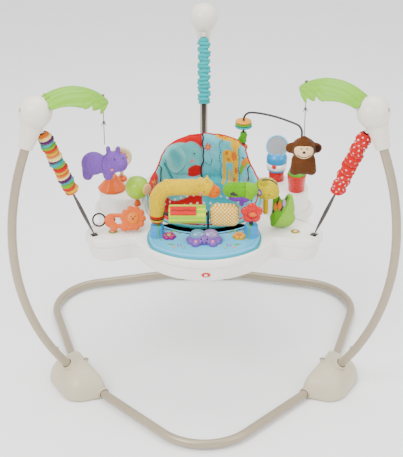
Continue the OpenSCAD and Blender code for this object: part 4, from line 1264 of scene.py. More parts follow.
def buttons():
    # two clusters of small domes, each one button
    for s, side, main, second in ((-1, "left", 0xB3287A, 0x6F2E86), (1, "right", 0xF0B22C, 0xA9A52E)):
        cx, cy = s * 86.0, -186.0
        parts = [lathe([(18, 431.2), (18, 436), (17.3, 437.2), (15.5, 437.8), (0.3, 437.8)], (cx, cy, 0), (0, 0, 1), 64, radius=lambda a, r, h: r * (0.93 + 0.07 * math.cos(6 * a)))]
        soup = Soup().add(*parts[0], 1)
        for k in range(7):
            x, y = (0, 0) if k == 6 else (10.3 * math.cos(math.pi * k / 3), 10.3 * math.sin(math.pi * k / 3))
            dome = [(5.9, 436.8), (5.9, 438.6)] + [(5.9 * math.cos(t), 438.6 + 5.2 * math.sin(t)) for t in np.linspace(0.15, 1.53, 9)]
            soup.add(*lathe(dome, (cx + x, cy + y, 0), (0, 0, 1), 24), 0 if k < 6 else 2)
        mats = [plastic("button_" + side, main, rough=0.22, coat=0.5), plastic("button_base_" + side, second, rough=0.3), MAT["lime"] if s < 0 else MAT["orange"]]
        soup.piece("berry_button_" + side, mats, "flower_" + side, "flower_magenta" if s < 0 else "flower_amber", ["flower_button_" + side])

    # the hippo night light: a low head with two clear ears or bumps on top
    base = (0.0, -206.0)
    skins = [
        ellipsoid((0, base[1] - 2, 441), (45, 22, 11.5)),
        ellipsoid((-21, base[1] - 20, 438), (11, 13, 12)),
        ellipsoid((21, base[1] - 20, 438), (11, 13, 12)),
        ellipsoid((0, base[1] - 9, 444), (17, 14, 12)),
        ellipsoid((0, base[1] + 6, 446), (32, 15, 11)),
        ellipsoid((-30, base[1] - 12, 439), (11, 10, 9)),
        ellipsoid((30, base[1] - 12, 439), (11, 10, 9)),
    ]
    body = blob("hippo_light_body", skins, MAT["purple"], 1.6, 8)
    settle(body, "hippo_light", ["hippo_button"])
    bvh = tree(body)
    face = Soup()
    for s in (-1, 1):
        face.add(*ellipsoid((s * 7.5, base[1] - 19.5, 450.5), (1.9, 1.9, 2.4), count=8), 0)
        patch(face, bvh, disc_outline(2.0, 20, 1.3), (s * 5.0, base[1] - 23, 443), (0, 0.85, -0.5), lift=0.2, thick=0.4, mat=0)
        patch(face, bvh, disc_outline(4.2, 28), (s * 20, base[1] - 20, 444), (0, 0.8, -0.6), lift=0.2, thick=0.3, mat=1)
        for k in range(3):
            face.add(*ellipsoid((s * 30 + (k - 1) * 5.2, base[1] - 21.2, 434.6), (2.2, 1.7, 2.0), count=8), 2)
    face.piece("hippo_light_face", [MAT["dark"], plastic("blush", 0xE2869C, rough=0.45), MAT["cream"]], "hippo_light", "dark_plastic")
    domes = Soup()
    for s, m in ((-1, 0), (1, 1)):
        domes.add(*ellipsoid((s * 15.5, base[1] + 3, 449), (21, 16.5, 15.5), count=24), m)
    domes.piece("hippo_light_domes", [clear_plastic("clear_sky", 0x9ED4EE), clear_plastic("clear_lilac", 0xC3AEDD)], "hippo_light", "dome_lilac", ["hippo_dome"])
    collars = Soup()
    for s in (-1, 1):
        collars.add(*lathe([(14.8, 448.2), (16.4, 448.2), (16.9, 449.2), (16.4, 450.4), (14.9, 450.8)], (s * 14.8, base[1] + 4, 0), (0, 0, 1), 40, caps=(False, False)), 0)
        seeds = [(s * 14.8 + 5 * math.cos(t), base[1] + 4 + 5 * math.sin(t)) for t in (0.4, 2.5, 4.6)]
        for x, y in seeds:
            collars.add(*ellipsoid((x, y, 451.5), (2.2, 2.2, 2.6), count=8), 1)
    collars.piece("hippo_light_collars", [MAT["purple"], MAT["orange"]], "hippo_light", "hippo_purple")


TRAY = tray()
PANEL = front_panel()
buttons()

# ---------------------------------------------------------------- seat

SEAT_TOP = [(-180, 0), (-118, 0), (-106, 0.10), (-92, 0.26), (-74, 0.36), (-62, 0.46), (-54, 0.66), (-46, 0.80), (-34, 0.90), (-18, 0.97), (0, 1.0), (22, 1.0), (38, 0.96), (48, 0.86), (57, 0.62), (68, 0.45), (84, 0.32), (98, 0.16), (112, 0.03), (122, 0), (180, 0)]
RIM_Z, BACK_Z = 446.0, 573.0


def seat_top(phi):
    """Height of the fabric's edge, phi degrees round from the middle of the back towards the right."""
    s = np.interp(phi, [p for p, _ in SEAT_TOP], [v for _, v in SEAT_TOP])
    return RIM_Z + (BACK_Z - RIM_Z) * s


def on_seat(phi, r, z):
    a = math.radians(phi)
    return Vector((r * math.sin(a), r * math.cos(a), z))


def seat():
    rings = []
    for k in range(240):
        phi = -180 + 1.5 * k
        top = float(seat_top(phi))
        lift = (top - RIM_Z) / (BACK_Z - RIM_Z)
        lean = 3.0 * math.sin(math.pi * min(1, lift))
        inner, outer = 137.0 - 9 * (1 - min(1, lift * 5)), 147.5
        z = lambda f: RIM_Z + (top - RIM_Z) * f
        profile = [(4, 241), (40, 241), (69, 242), (84, 270), (97, 301), (113, 340), (127, 378), (128, 400), (128, 431.5), (136, 433), (147, 434),
                   (outer, 440), (outer, z(0.25)), (outer + lean * 0.5, z(0.5)), (outer, z(0.8)), (outer - 1.5, z(0.95) - 1), (142, top - 0.5),
                   (inner + 1.5, z(0.95) - 1), (inner - 0.5, z(0.8)), (inner - 1, z(0.5)), (inner - 1, z(0.25)), (inner - 1, 440), (125, 434), (123, 420), (122, 384), (108, 343), (92, 305), (80, 276), (66, 247), (40, 247), (4, 247)]
        rings.append([on_seat(phi, r, h) for r, h in profile])
    points, faces = rings_mesh(rings, closed=True, wrap=False)
    n = len(rings[0])
    centre_low, centre_high = len(points), len(points) + 1
    points += [Vector((0, 0, 241)), Vector((0, 0, 247))]
    for i in range(240):
        a, b = i * n, ((i + 1) % 240) * n
        faces.append((a, b, centre_low))
        faces.append((b + n - 1, a + n - 1, centre_high))
    obj = add_piece("seat_cushion", points, faces, SEAT_CLOTH)
    cutters = []
    for s in (-1, 1):
        a = math.radians(270 + s * 42)
        out = Vector((math.cos(a), math.sin(a), 0))
        pts, fcs = lathe([(40, 30), (42, 70), (44, 170)], (0, 0, 298), out, 48)
        cut = add_piece("cutter%d" % s, pts, fcs, SEAT_CLOTH)
        cutters.append(cut)
        boolean = obj.modifiers.new("hole", "BOOLEAN")
        boolean.operation, boolean.solver, boolean.object = "DIFFERENCE", "EXACT", cut
    freeze(obj)
    for cut in cutters:
        bpy.data.objects.remove(cut)
    plump(obj, voxel=4.5, pressure=3.6, cap=3.2, smooth=2)

    # sew the panels: the cloth pulls in along each seam and at the buttonholes
    p = mm(obj)
    phi = np.degrees(np.arctan2(p[:, 0], p[:, 1]))
    r = np.hypot(p[:, 0], p[:, 1])
    up = smoothstep(p[:, 2], RIM_Z - 14, RIM_Z + 14)
    normals = np.empty(len(p) * 3)
    obj.data.vertices.foreach_get("normal", normals)
    normals = normals.reshape(-1, 3)
    outward = np.stack([np.sin(np.radians(phi)), np.cos(np.radians(phi)), np.zeros(len(p))], 1)
    inward = -(normals * outward).sum(1)
    pull = np.zeros(len(p))
    for seam, depth in ((-58, 2.6), (-2, 3.4), (19, 2.6), (44, 2.6), (60, 2.6), (-96, 2.2), (97, 2.2), (138, 2.0), (-138, 2.0), (180, 2.2)):
        gap = np.abs((phi - seam + 180) % 360 - 180) * math.pi / 180 * np.maximum(r, 40)
        pull = np.maximum(pull, depth * np.exp(-(gap / 5.0) ** 2))
    for level in (402.0, 318.0):
        pull = np.maximum(pull, 1.8 * np.exp(-((p[:, 2] - level) / 4.5) ** 2))
    wrinkle = 0.9 * np.sin(phi * 0.55 + p[:, 2] * 0.11) * np.sin(phi * 0.21 - p[:, 2] * 0.07 + 1.3) + 0.5 * np.sin(phi * 1.7 + 0.05 * p[:, 2]) * np.sin(p[:, 2] * 0.16)
    p = p - normals * pull[:, None] * 0.8 + normals * (wrinkle * (0.35 + 0.65 * up))[:, None]
    over = np.hypot(p[:, 0], p[:, 1])
    limit = np.where(p[:, 2] < 432, 129.3, 152.5)
    scale = np.minimum(1, limit / np.maximum(over, 1e-6))
    p[:, 0] *= scale
    p[:, 1] *= scale
    p[:, 2] = np.where((over > 128.8) & (p[:, 2] < 432.0), np.minimum(p[:, 2], 432.0), p[:, 2])
    set_mm(obj, p)

    # the print: u runs round the back in millimetres, v is the height
    phi = np.degrees(np.arctan2(p[:, 0], p[:, 1]))
    u, v = np.radians(phi) * 142.0, p[:, 2]
    ink = Print(len(p), 0x6CC3C8)
    inside = np.where(inward > -0.35, -99.0, 1e9)

    def zone(lo, hi, only=inside):
        return np.maximum(np.maximum(lo - u, u - hi), only)

    def on(d, lo=-400, hi=400, only=inside):
        return np.maximum(d, zone(lo, hi, only))

    ink.lay(zone(-5, 47), 0x8AD2DC)
    ink.lay(zone(47, 109), 0x7CCAD2)
    ink.lay(zone(109, 240), 0x86CFDC)
    ink.lay(on(v * 0 + (v - 470) * 0.6, -5, 109), 0x5FBFC8, 22)
    # a red panel with a big teal elephant, head to the right
    ink.lay(zone(-400, -5), 0xDC3A24)
    body = np.minimum(oval(u, v, -78, 470, 74, 80, -8), oval(u, v, -40, 500, 38, 48, 0))
    body = np.minimum(body, oval(u, v, -118, 470, 44, 62, 10))
    ink.lay(on(body, -162, -5), 0x84CCCB, 1.0)
    ear = oval(u, v, -88, 507, 33, 42, 24)
    ink.lay(on(ear, -162, -5), 0x9AD7D4, 1.0)
    ink.lay(on(oval(u, v, -84, 512, 16, 34, 30), -162, -5), 0x74BDBF, 9)
    ink.lay(on(line_distance(u, v, [(-126, 506), (-112, 480), (-96, 452), (-86, 432)], 3.2), -162, -5), 0x2E8C93, 3.0)
    ink.lay(on(np.maximum(oval(u, v, -26, 462, 24, 17, 12), -oval(u, v, -70, 462, 24, 20)), -60, -5), 0xD8301E, 1.0)
    ink.lay(on(oval(u, v, -34, 492, 5.6, 5.2), -162, -5), 0xE79A93, 2.2)
    # a small red flower, and a smile of stitches under it
    ink.lay(on(petals(u, v, 11, 531, 12.5, 7), -5, 47), 0xE03A2A)
    ink.lay(on(oval(u, v, 11, 531, 4.2, 4.2), -5, 47), 0xF2B535)
    ink.lay(on(line_distance(u, v, [(4, 486), (9, 480), (17, 479), (22, 486), (22, 496)], 0.9), -5, 47), 0x2E6F77, 0.6)
    # a giraffe between two stitched seams
    giraffe = np.minimum.reduce([line_distance(u, v, [(96, 436), (96, 520), (92, 545)], 9), oval(u, v, 74, 512, 22, 19), line_distance(u, v, [(60, 436), (59, 506)], 5), line_distance(u, v, [(76, 470), (78, 436)], 4.5), oval(u, v, 92, 548, 14, 12)])
    ink.lay(on(giraffe, 47, 109), 0xF4C64B, 0.8)
    for cu, cv, ru, rv in ((90, 516, 9, 13), (98, 476, 6, 9), (92, 448, 5, 8), (66, 520, 5, 6), (72, 503, 5, 5)):
        ink.lay(on(oval(u, v, cu, cv, ru, rv), 47, 109), 0xEE8A2B, 0.8)
    ink.lay(on(np.minimum(oval(u, v, 56, 563, 27, 9, -6), oval(u, v, 84, 560, 12, 7)), 30, 109), 0xF6BE45, 0.8)
    ink.lay(on(oval(u, v, 50, 564, 9, 4), 30, 109), 0xEE9433, 2.0)
    # small motifs on the wings
    for k, (cu, cv) in enumerate(((124, 520), (136, 498), (122, 486), (150, 482), (166, 470), (140, 466), (182, 470), (156, 452), (200, 458), (216, 450), (128, 544))):
        colour = (0x2C6D80, 0xF0992F, 0x5FA83A, 0xFFFFFF)[k % 4]
        shape = petals(u, v, cu, cv, 5.6, 5 + k % 2) if k % 2 else oval(u, v, cu, cv, 6.5, 2.6, 40 * k)
        ink.lay(on(shape, 109, 260), colour, 0.6)
    ink.lay(on(line_distance(u, v, [(112, 476), (124, 502), (146, 520)], 7.5), 109, 200), 0x7DBA3A, 0.8)
    ink.lay(on(line_distance(u, v, [(124, 506), (142, 524)], 7.5), 109, 200), 0xF2A13A, 0.8)
    for cu, cv in ((-186, 470), (-212, 452), (-240, 446), (-170, 444)):
        ink.lay(on(petals(u, v, cu, cv, 13, 6), -400, -150), 0xF2B43A)
        ink.lay(on(oval(u, v, cu, cv, 4.5, 4.5), -400, -150), 0x7A2C1C)
    # dots all over the bucket's inside
    row = np.round(v / 22.0)
    du = (u + 11 * (row % 2)) % 22.0 - 11.0
    dots = np.maximum(np.hypot(du * np.minimum(1.0, r / 130), v - row * 22.0) - 3.0, np.where(v < RIM_Z - 26, -99.0, 1e9))
    ink.lay(dots, 0xF4F0DC, 0.7)
    paint(obj, ink.c)
    settle(obj, "seat", ["seat_pad"])

    # piping, seams and stitches lie on the finished cloth
    bvh = tree(obj)

    def surface(phi, r, z, lift):
        q = on_seat(phi, r, z)
        hit, normal, _, _ = bvh.find_nearest(P(*q))
        return Vector(((hit.x - AXIS.x) * 1000, (hit.y - AXIS.y) * 1000, hit.z * 1000)) + normal * lift

    def crest(phi):
        """The top edge of the cloth at an angle, found from above."""
        a = on_seat(phi, 142.0, 640)
        best = None
        for r in np.linspace(126, 150, 13):
            q = on_seat(phi, float(r), 640)
            hit, normal, _, _ = bvh.ray_cast(P(*q), Vector((0, 0, -1)), 0.4)
            if hit is not None and (best is None or hit.z * 1000 > best.z):
                best = Vector(((hit.x - AXIS.x) * 1000, (hit.y - AXIS.y) * 1000, hit.z * 1000))
        return best if best is not None else a

    edge = [crest(phi) for phi in np.arange(-180, 180, 3.0)]
    smooth_edge = [(edge[i - 1] + edge[i] * 2 + edge[(i + 1) % len(edge)]) / 4 for i in range(len(edge))]
    piping = Soup()
    line = spline(smooth_edge, 480, closed=True)
    piping.add(*sweep(line, 2.0, 8, closed=True, caps=False), 0)
    piping.piece("seat_edge_piping", MAT_PIPING_RED, "seat", "seat_fabric")
    seams = Soup()
    for seam in (-58, -2, 60):
        top = crest(seam)
        run = [top + Vector((0, 0, 0.4))] + [surface(seam, 128, z, 0.9) for z in np.linspace(top.z - 8, 438, 8)]
        seams.add(*sweep(spline(run, 70), 1.7 if seam == -2 else 1.3, 8), 0)
    seams.piece("seat_seam_piping", MAT_PIPING_DARK, "seat", "seat_fabric")
    thread = Soup()
    for seam in (19, 44):
        top = crest(seam)
        tacks(thread, bvh, [surface(seam, 128, z, 0) for z in np.linspace(top.z - 7, 440, 24)], 5.2, 3.0, 0.75)
    arc = lambda pts: [surface(math.degrees(a / 142.0), 130, b, 0) for a, b in pts]
    tacks(thread, bvh, arc([(-122, 516), (-117, 498), (-108, 482), (-95, 470), (-80, 463), (-68, 468), (-60, 476), (-54, 484)]), 3.4, 1.4, 0.6)
    tacks(thread, bvh, arc([(-80, 462), (-66, 458), (-50, 460)]), 3.4, 1.4, 0.6)
    for s in (-1, 1):
        b = 180 + s * 42
        for k in range(40):
            pass
    thread.piece("seat_stitches", MAT_THREAD, "seat", "seat_fabric")
    eyes = Soup()
    for a, b, size in ((-28, 513, 2.2), (60, 566, 1.6)):
        q = surface(math.degrees(a / 142.0), 130, b, 0.4)
        eyes.add(*ellipsoid(q, (size, size, size), count=8))
    eyes.piece("seat_print_eyes", MAT["dark"], "seat", "seat_fabric")
    # bound edges round the leg openings
    binding = Soup()
    for s in (-1, 1):
        a = math.radians(270 + s * 42)
        out = Vector((math.cos(a), math.sin(a), 0))
        side = Vector((-math.sin(a), math.cos(a), 0))
        loop = []
        for t in np.linspace(0, 2 * math.pi, 73)[:-1]:
            q = out * 102 + side * (41.5 * math.cos(t)) + Vector((0, 0, 298 + 41.5 * math.sin(t)))
            rr = math.hypot(q.x, q.y)
            want = np.interp(q.z, [241, 270, 301, 340, 378], [66, 81, 94.5, 110.5, 124])
            d = out * (math.sqrt(max(want ** 2 - (41.5 * math.cos(t)) ** 2, 1)) - 102)
            loop.append(q + d)
        binding.add(*sweep(loop, 4.2, 10, closed=True, caps=False))
    binding.piece("leg_opening_binding", MAT_PIPING_RED, "seat", "seat_fabric")

    # the white ring that the seat hangs in
    ring = Soup()
    profile = [(130.2, 386.5), (130.0, 424), (130.2, 430.2), (131.4, 431.1), (140, 431.2), (148.4, 431.1), (149.7, 430.2), (150, 428.6), (150, 425.2), (149.4, 424.45), (138.6, 424.4), (137.95, 423.6), (137.95, 394.2), (141.6, 392), (141.8, 391), (137.2, 386.6), (136.4, 386.2), (131, 386.2)]
    points, faces = lathe(profile + [profile[0]], (0, 0, 0), (0, 0, 1), 180, caps=(False, False))
    ring.add(points, faces)
    ring.piece("seat_ring_moulded", MAT["white"], "seat", "tray_white", ["seat_ring"])


SEAT_CLOTH = woven("seat_print", printed=True, pitch=1500, crease=0.3, strength=0.4)
MAT_PIPING_RED = woven("piping_red", 0xD4371F, pitch=3200, crease=0.2)
MAT_PIPING_DARK = woven("piping_dark", 0x2B2026, pitch=3200, crease=0.2)
MAT_THREAD = webbing("thread", 0x2A2030)
seat()

# ---------------------------------------------------------------- soft toys

def groove(obj, distance, depth=0.9, width=1.2):
    """Pulls the skin in along a seam, given each vertex's distance from it in millimetres."""
    pts = mm(obj)
    normals = np.empty(len(obj.data.vertices) * 3)
    obj.data.vertices.foreach_get("normal", normals)
    pts -= normals.reshape(-1, 3) * (depth * np.exp(-(distance(*pts.T) / width) ** 2))[:, None]
    set_mm(obj, pts)


def soft_toy(name, shapes, base, where, draw, seam=None, fine=1, cap=2.0, pile=700, cloth=False):
    """A stuffed toy: one skin over its shapes, puffed up as cloth, with its colours printed on. where is (body, slot,
    node); the slot is not used.
    """
    skin = woven(name + "_cloth", printed=True) if cloth else plush(name + "_plush", printed=True, pile=pile)
    obj = blob(name, shapes, skin, 2.2, 8)
    plump(obj, voxel=2.8, pressure=3.0, cap=cap, frames=16)
    if fine > 1:
        sub = obj.modifiers.new("fine", "SUBSURF")
        sub.levels = sub.render_levels = fine - 1
        freeze(obj)
        obj.data.shade_smooth()
    if seam:
        groove(obj, seam)
    ink = Print(len(obj.data.vertices), base)
    draw(ink, *mm(obj).T)
    paint(obj, ink.c)
    settle(obj, where[0], [where[2]])
    return obj


def face(name, obj, items, mats, body, slot="dark_plastic"):
    """Sewn features on a skin: each item is (outline, at, towards, material, thickness)."""
    soup, bvh = Soup(), tree(obj)
    for outline, at, towards, mat, thick in items:
        patch(soup, bvh, outline, at, towards, lift=0.2, thick=thick, mat=mat)
    return soup.piece(name, mats, body, slot)


BLUSH = plastic("blush_felt", 0xE88A8A, rough=0.8, coat=0.0)
FRONT = (0, 1, 0)


def giraffe():
    y = -176.0
    shapes = [capsule((-115, y, 485), (-115, y, 530), 18.8, 19.6), sweep(spline([(-115, y, 520), (-113, y, 538), (-101, y, 557), (-82, y, 565), (-40, y, 566), (0, y, 566)], 40), 20.0, 24, hint=(0, 1, 0)),
              ellipsoid((4, y, 566), (22, 21, 21.5)), ellipsoid((22, y, 555), (18, 17.5, 16.5))]
    shapes += [ellipsoid((x, y, 580), (8.5, 9.0, 9.5), count=10) for x in range(-92, -8, 16)]
    shapes += [capsule((x, y + s * 8, 582), (x + 2, y + s * 9, 592), 3.6, 4.4) for x, s in ((6, -1), (6, 1))]
    shapes += [ellipsoid((-9, y + s * 15, 581), (7, 6, 7), count=10) for s in (-1, 1)]

    def draw(ink, x, y_, z):
        ink.lay(12 - x - 0.55 * (560 - z), 0xF2861C, 0.6)
        leg = np.maximum(x + 90, z - 500)
        for lo, hi, colour in ((488, 494, 0xC5352B), (483, 488, 0x5A3326), (478, 483, 0xF6CF55), (473, 478, 0xA9441F), (464, 473, 0xE98A22)):
            ink.lay(np.maximum(np.maximum(lo - z, z - hi), leg), colour, 0.5)
    obj = soft_toy("giraffe_body", shapes, 0xFFD02E, ("tray", "giraffe_yellow", "giraffe_arch"), draw,
                   seam=lambda x, y_, z: np.where(x < 0, np.abs(y_ - y), 9.0), fine=2, cap=3.0)
    face("giraffe_face", obj, [(disc_outline(1.7, 16), (0, y - 20, 564), FRONT, 0, 1.2), (disc_outline(5.2, 28, 0.85), (-9, y - 20, 558), FRONT, 1, 0.5),
                               (disc_outline(1.0, 12), (30, y - 15, 559), FRONT, 0, 0.5)], [MAT["dark"], BLUSH], "tray")


def pouch():
    shapes = [ellipsoid((x, -181, z), (17, 15.5, 17)) for x in (30, 40, 50, 60, 69) for z in (481, 494, 507)]

    def draw(ink, x, y, z):
        best = np.full(x.shape, 1e9)
        for shift in (0.0, 0.5):
            best = np.minimum(best, np.hypot((x / 9 + shift - np.round(x / 9 + shift)) * 9, (z / 9 + shift - np.round(z / 9 + shift)) * 9))
        ink.lay(best - 1.6, 0xFDF6DC, 0.45)
    soft_toy("pouch", shapes, 0xF5BE2C, ("tray", "dotted_fabric", "dotted_pouch"), draw, seam=lambda x, y, z: np.abs(y + 176), fine=2, cloth=True)


def crocodile():
    y = -178.0
    shapes = [capsule((62, y, 561), (112, y, 560), 18.6, 18.6), ellipsoid((76, y, 545), (19, 17, 16)), ellipsoid((104, y, 548), (20, 16, 18))]
    shapes += [ellipsoid((x, y, 579), (5.5, 4, 4), count=8) for x in (70, 82, 94, 106)]

    def draw(ink, x, y_, z):
        ink.lay(np.maximum(x - 130, 98 - x) + 0 * z, 0x8BC34A, 1.0)
        ink.lay(np.abs(x - 98) - 0.8, 0x3F7A28, 0.5)
    obj = soft_toy("crocodile_body", shapes, 0x74B43C, ("tray", "crocodile_fabric", "crocodile"), draw, seam=lambda x, y_, z: np.abs(z - 572))
    mouth = soft_outline([(-11, 4), (-2, 8), (13, -5), (-11, -3)], 1.2, 1.0)
    face("crocodile_mouth", obj, [(mouth, (72, y - 18, 557), FRONT, 0, 0.6)], [MAT["dark"]], "tray")
    tongue = blob("crocodile_tongue", [ellipsoid((82, y - 12, 543), (24, 9, 7.5)), ellipsoid((99, y - 12, 540), (10, 8, 7)), ellipsoid((90, y - 12, 529), (6, 6, 7))],
                  plush("tongue_plush", 0x7D4FA3), 1.8, 6)
    settle(tongue, "tray")


def spotted_head():
    c = Vector((152, -132, 541))
    shapes = [ellipsoid(c, (31, 27, 28)), ellipsoid(c + Vector((14, -4, -8)), (19, 19, 18)), lathe([(7, 470), (7, 520)], (152, -132, 0), segments=24)]

    def draw(ink, x, y, z):
        best = np.full(x.shape, 1e9)
        for shift in (0.0, 0.5):
            best = np.minimum(best, np.hypot((x / 6 + shift - np.round(x / 6 + shift)) * 6, (z / 6 + shift - np.round(z / 6 + shift)) * 6))
        ink.lay(best - 0.75, 0xC79A2A, 0.4)
        ink.lay(oval(x, z, 143, 564, 13, 8), 0xC4B31C, 0.6)
        ink.lay(x - 131, 0x86BC42, 0.5)
        ink.lay(np.abs(x - 131) - 0.7, 0x4F7F2A, 0.4)
        ink.lay(z - 510, 0xE9C24B, 0.8)
    obj = soft_toy("spotted_head_skin", shapes, 0xFFE44A, ("tray", "head_fabric", "spotted_head"), draw, fine=2)
    face("spotted_head_face", obj, [(disc_outline(7.5, 32, 1.35), (133, -158, 540), (0.25, 1, 0), 0, 0.9), (disc_outline(4.4, 28, 1.35), (133, -158, 540), (0.25, 1, 0), 1, 1.4),
                                    (disc_outline(1.6, 14), (158, -160, 536), FRONT, 2, 1.4)], [MAT["purple"], MAT["cream"], MAT["dark"]], "tray")
    soup, bvh = Soup(), tree(obj)
    for k in range(12):
        a = math.radians(32 + 7 * k)
        patch(soup, bvh, disc_outline(3.4, 12), (152 + 27 * math.cos(a), -138, 541 + 27 * math.sin(a)), (-math.cos(a), 0.25, -math.sin(a)), lift=0.4, thick=0.5, rings=3)
    soup.piece("spotted_head_band", [MAT["webbing"]], "tray", "webbing")


def leaf_bag():
    shapes = [ellipsoid((195, -118, 452), (33, 19, 26)), ellipsoid((202, -116, 476), (24, 16, 28)), capsule((211, -113, 480), (211, -112, 506), 15, 10.5),
              capsule((181, -116, 466), (179, -112, 504), 14, 10.5), capsule((180, -120, 440), (172, -121, 436), 14, 8)]
    vein = [(170, 434), (186, 462), (205, 492), (211, 512)]

    def draw(ink, x, y, z):
        ink.lay(x - (172 + (z - 434) * 0.50), 0x73B23F, 1.4)
        ink.lay(line_distance(x, z, vein, 0.7), 0x4C8A2B, 0.5)
        for k in range(4):
            z0 = 450 + 13 * k
            x0 = 172 + (z0 - 434) * 0.5
            ink.lay(line_distance(x, z, [(x0, z0), (x0 + 17, z0 + 9)], 0.35), 0x7FBB48, 0.4)
    obj = soft_toy("leaf_bag_skin", shapes, 0x9ACD5E, ("tray", "bag_fabric", "leaf_bag"), draw, cloth=True, fine=2)
    soup, bvh = Soup(), tree(obj)
    for (x0, z0), (x1, z1) in (((186, 512), (171, 474)), ((206, 512), (190, 482))):
        line = []
        for i in range(9):
            t = i / 8
            hit, normal, _, _ = bvh.ray_cast(P(x0 + (x1 - x0) * t, -190, z0 + (z1 - z0) * t), Vector((0, 1, 0)), 0.2)
            at = hit if hit else P(x0 + (x1 - x0) * t, -124, z0 + (z1 - z0) * t)
            line.append(Vector(((at.x - AXIS.x) * 1000, (at.y - AXIS.y) * 1000 - 1.3, at.z * 1000)))
        soup.add(*sweep(spline(line, 20), 1.4, 8))
        soup.add(*ellipsoid(line[-1] + Vector((0, -1, 0)), (3.2, 3.0, 3.6), count=8))
    soup.piece("leaf_bag_cords", [MAT["webbing"]], "tray", "webbing")
    trim = blob("leaf_bag_trim", [ellipsoid((186, -132, 493), (5, 3.5, 14)), ellipsoid((176, -128, 488), (4, 3.5, 12))], woven("trim_cloth", 0xF08A3C), 1.4, 4)
    settle(trim, "tray")
    trim = blob("leaf_bag_trim_lilac", [ellipsoid((197, -131, 500), (4.5, 3.5, 11))], woven("trim_cloth_lilac", 0xB79CCB), 1.4, 4)
    settle(trim, "tray")


def hippo():
    ox, oy, _ = pol(210, 276)
    def at(x, y, z): return (ox + x, oy + y, z)
    shapes = [ellipsoid(at(-28, 0, 612), (31, 23, 30)), ellipsoid(at(20, 0, 617), (27, 21, 26)), ellipsoid(at(36, -2, 612), (19, 19, 21)), ellipsoid(at(44, 0, 628), (8, 13, 9)),
              ellipsoid(at(12, 0, 606), (24, 20, 22))]
    shapes += [capsule(at(x, 0, 580), at(x, 0, 596), 13.2, 14) for x in (-44, 6)]
    shapes += [capsule(at(x, 0, 640), at(x, 0, 652), 6.0, 7.0) for x in (8, 32)]

    def draw(ink, x, y, z):
        ink.lay(np.abs(np.hypot(x - ox - 22, (z - 614) * 0.95) - 29) - 0.6 + 99 * (x - ox > 4), 0x5D4389, 0.6)
    obj = soft_toy("hippo_skin", shapes, 0x8C6BB8, ("hippo", "plush_purple", "hippo_toy"), draw, seam=lambda x, y, z: np.abs(y - oy), pile=900)
    face("hippo_face", obj, [(disc_outline(4.6, 28, 0.85), at(17, -20, 603), FRONT, 1, 0.6), (disc_outline(1.7, 14, 1.3), at(24, -20, 630), FRONT, 0, 1.2),
                             (disc_outline(1.6, 14, 1.5), at(44, -14, 630), FRONT, 0, 0.5)], [MAT["dark"], BLUSH], "hippo")


def monkey():
    ox, oy, _ = pol(330, 276)
    def at(x, y, z): return (ox + x, oy + y, z)
    shapes = [ellipsoid(at(0, 0, 652), (30, 26, 28)), ellipsoid(at(0, 0, 620), (26, 20, 21)), ellipsoid(at(2, 0, 602), (26, 19, 19))]
    shapes += [ellipsoid(at(s * 32, 0, 653), (14, 6, 15)) for s in (-1, 1)]
    shapes += [ellipsoid(at(s * 20, -2, 594), (14, 13, 13)) for s in (-1, 1)]
    shapes += [capsule(at(s * 22, -4, 628), at(s * 25, -10, 604), 8, 7.5) for s in (-1, 1)]
    shapes += [ellipsoid(at(x, 0, z), (4, 4, 5), count=8) for x, z in ((-6, 679), (0, 682), (6, 679))]

    def draw(ink, x, y, z):
        # a dark patch on the front of the right ear only: painted shade
        ink.lay(np.maximum(oval(x, z, ox + 32, 653, 8, 9), y - oy), 0x3A221A, 0.6)
    obj = soft_toy("monkey_skin", shapes, 0x6A4530, ("monkey", "plush_brown", "monkey_toy"), draw, pile=900)
    muzzle = [Vector((25 * math.cos(t) * (1 + 0.06 * math.sin(t)), 17.5 * math.sin(t) + (3.5 if math.sin(t) > 0 else 0) * abs(math.cos(t)), 0)) for t in [2 * math.pi * i / 48 for i in range(48)]]
    felt = plastic("face_felt", 0xF0D3AE, rough=0.85, coat=0.0, grain=0.5)
    items = [(muzzle, at(-1, -26, 650), FRONT, 0, 1.6), (disc_outline(4.6, 20, 0.8), at(-1, -26, 653), FRONT, 1, 3.0)]
    items += [(disc_outline(1.9, 12, 1.3), at(s * 6.5 - 1, -26, 661), FRONT, 1, 2.4) for s in (-1, 1)]
    items += [(disc_outline(0.9, 10), at(s * 14 - 1, -24, 646), FRONT, 2, 2.2) for s in (-1, 1)]
    items += [(disc_outline(1.3, 8), at(-1 + 17 * math.sin(a), -26, 651 - 11 * math.cos(a)), FRONT, 1, 2.2) for a in np.linspace(-0.95, 0.95, 24)]
    face("monkey_face", obj, items, [felt, MAT["dark"], BLUSH], "monkey")


# ---------------------------------------------------------------- hard toys

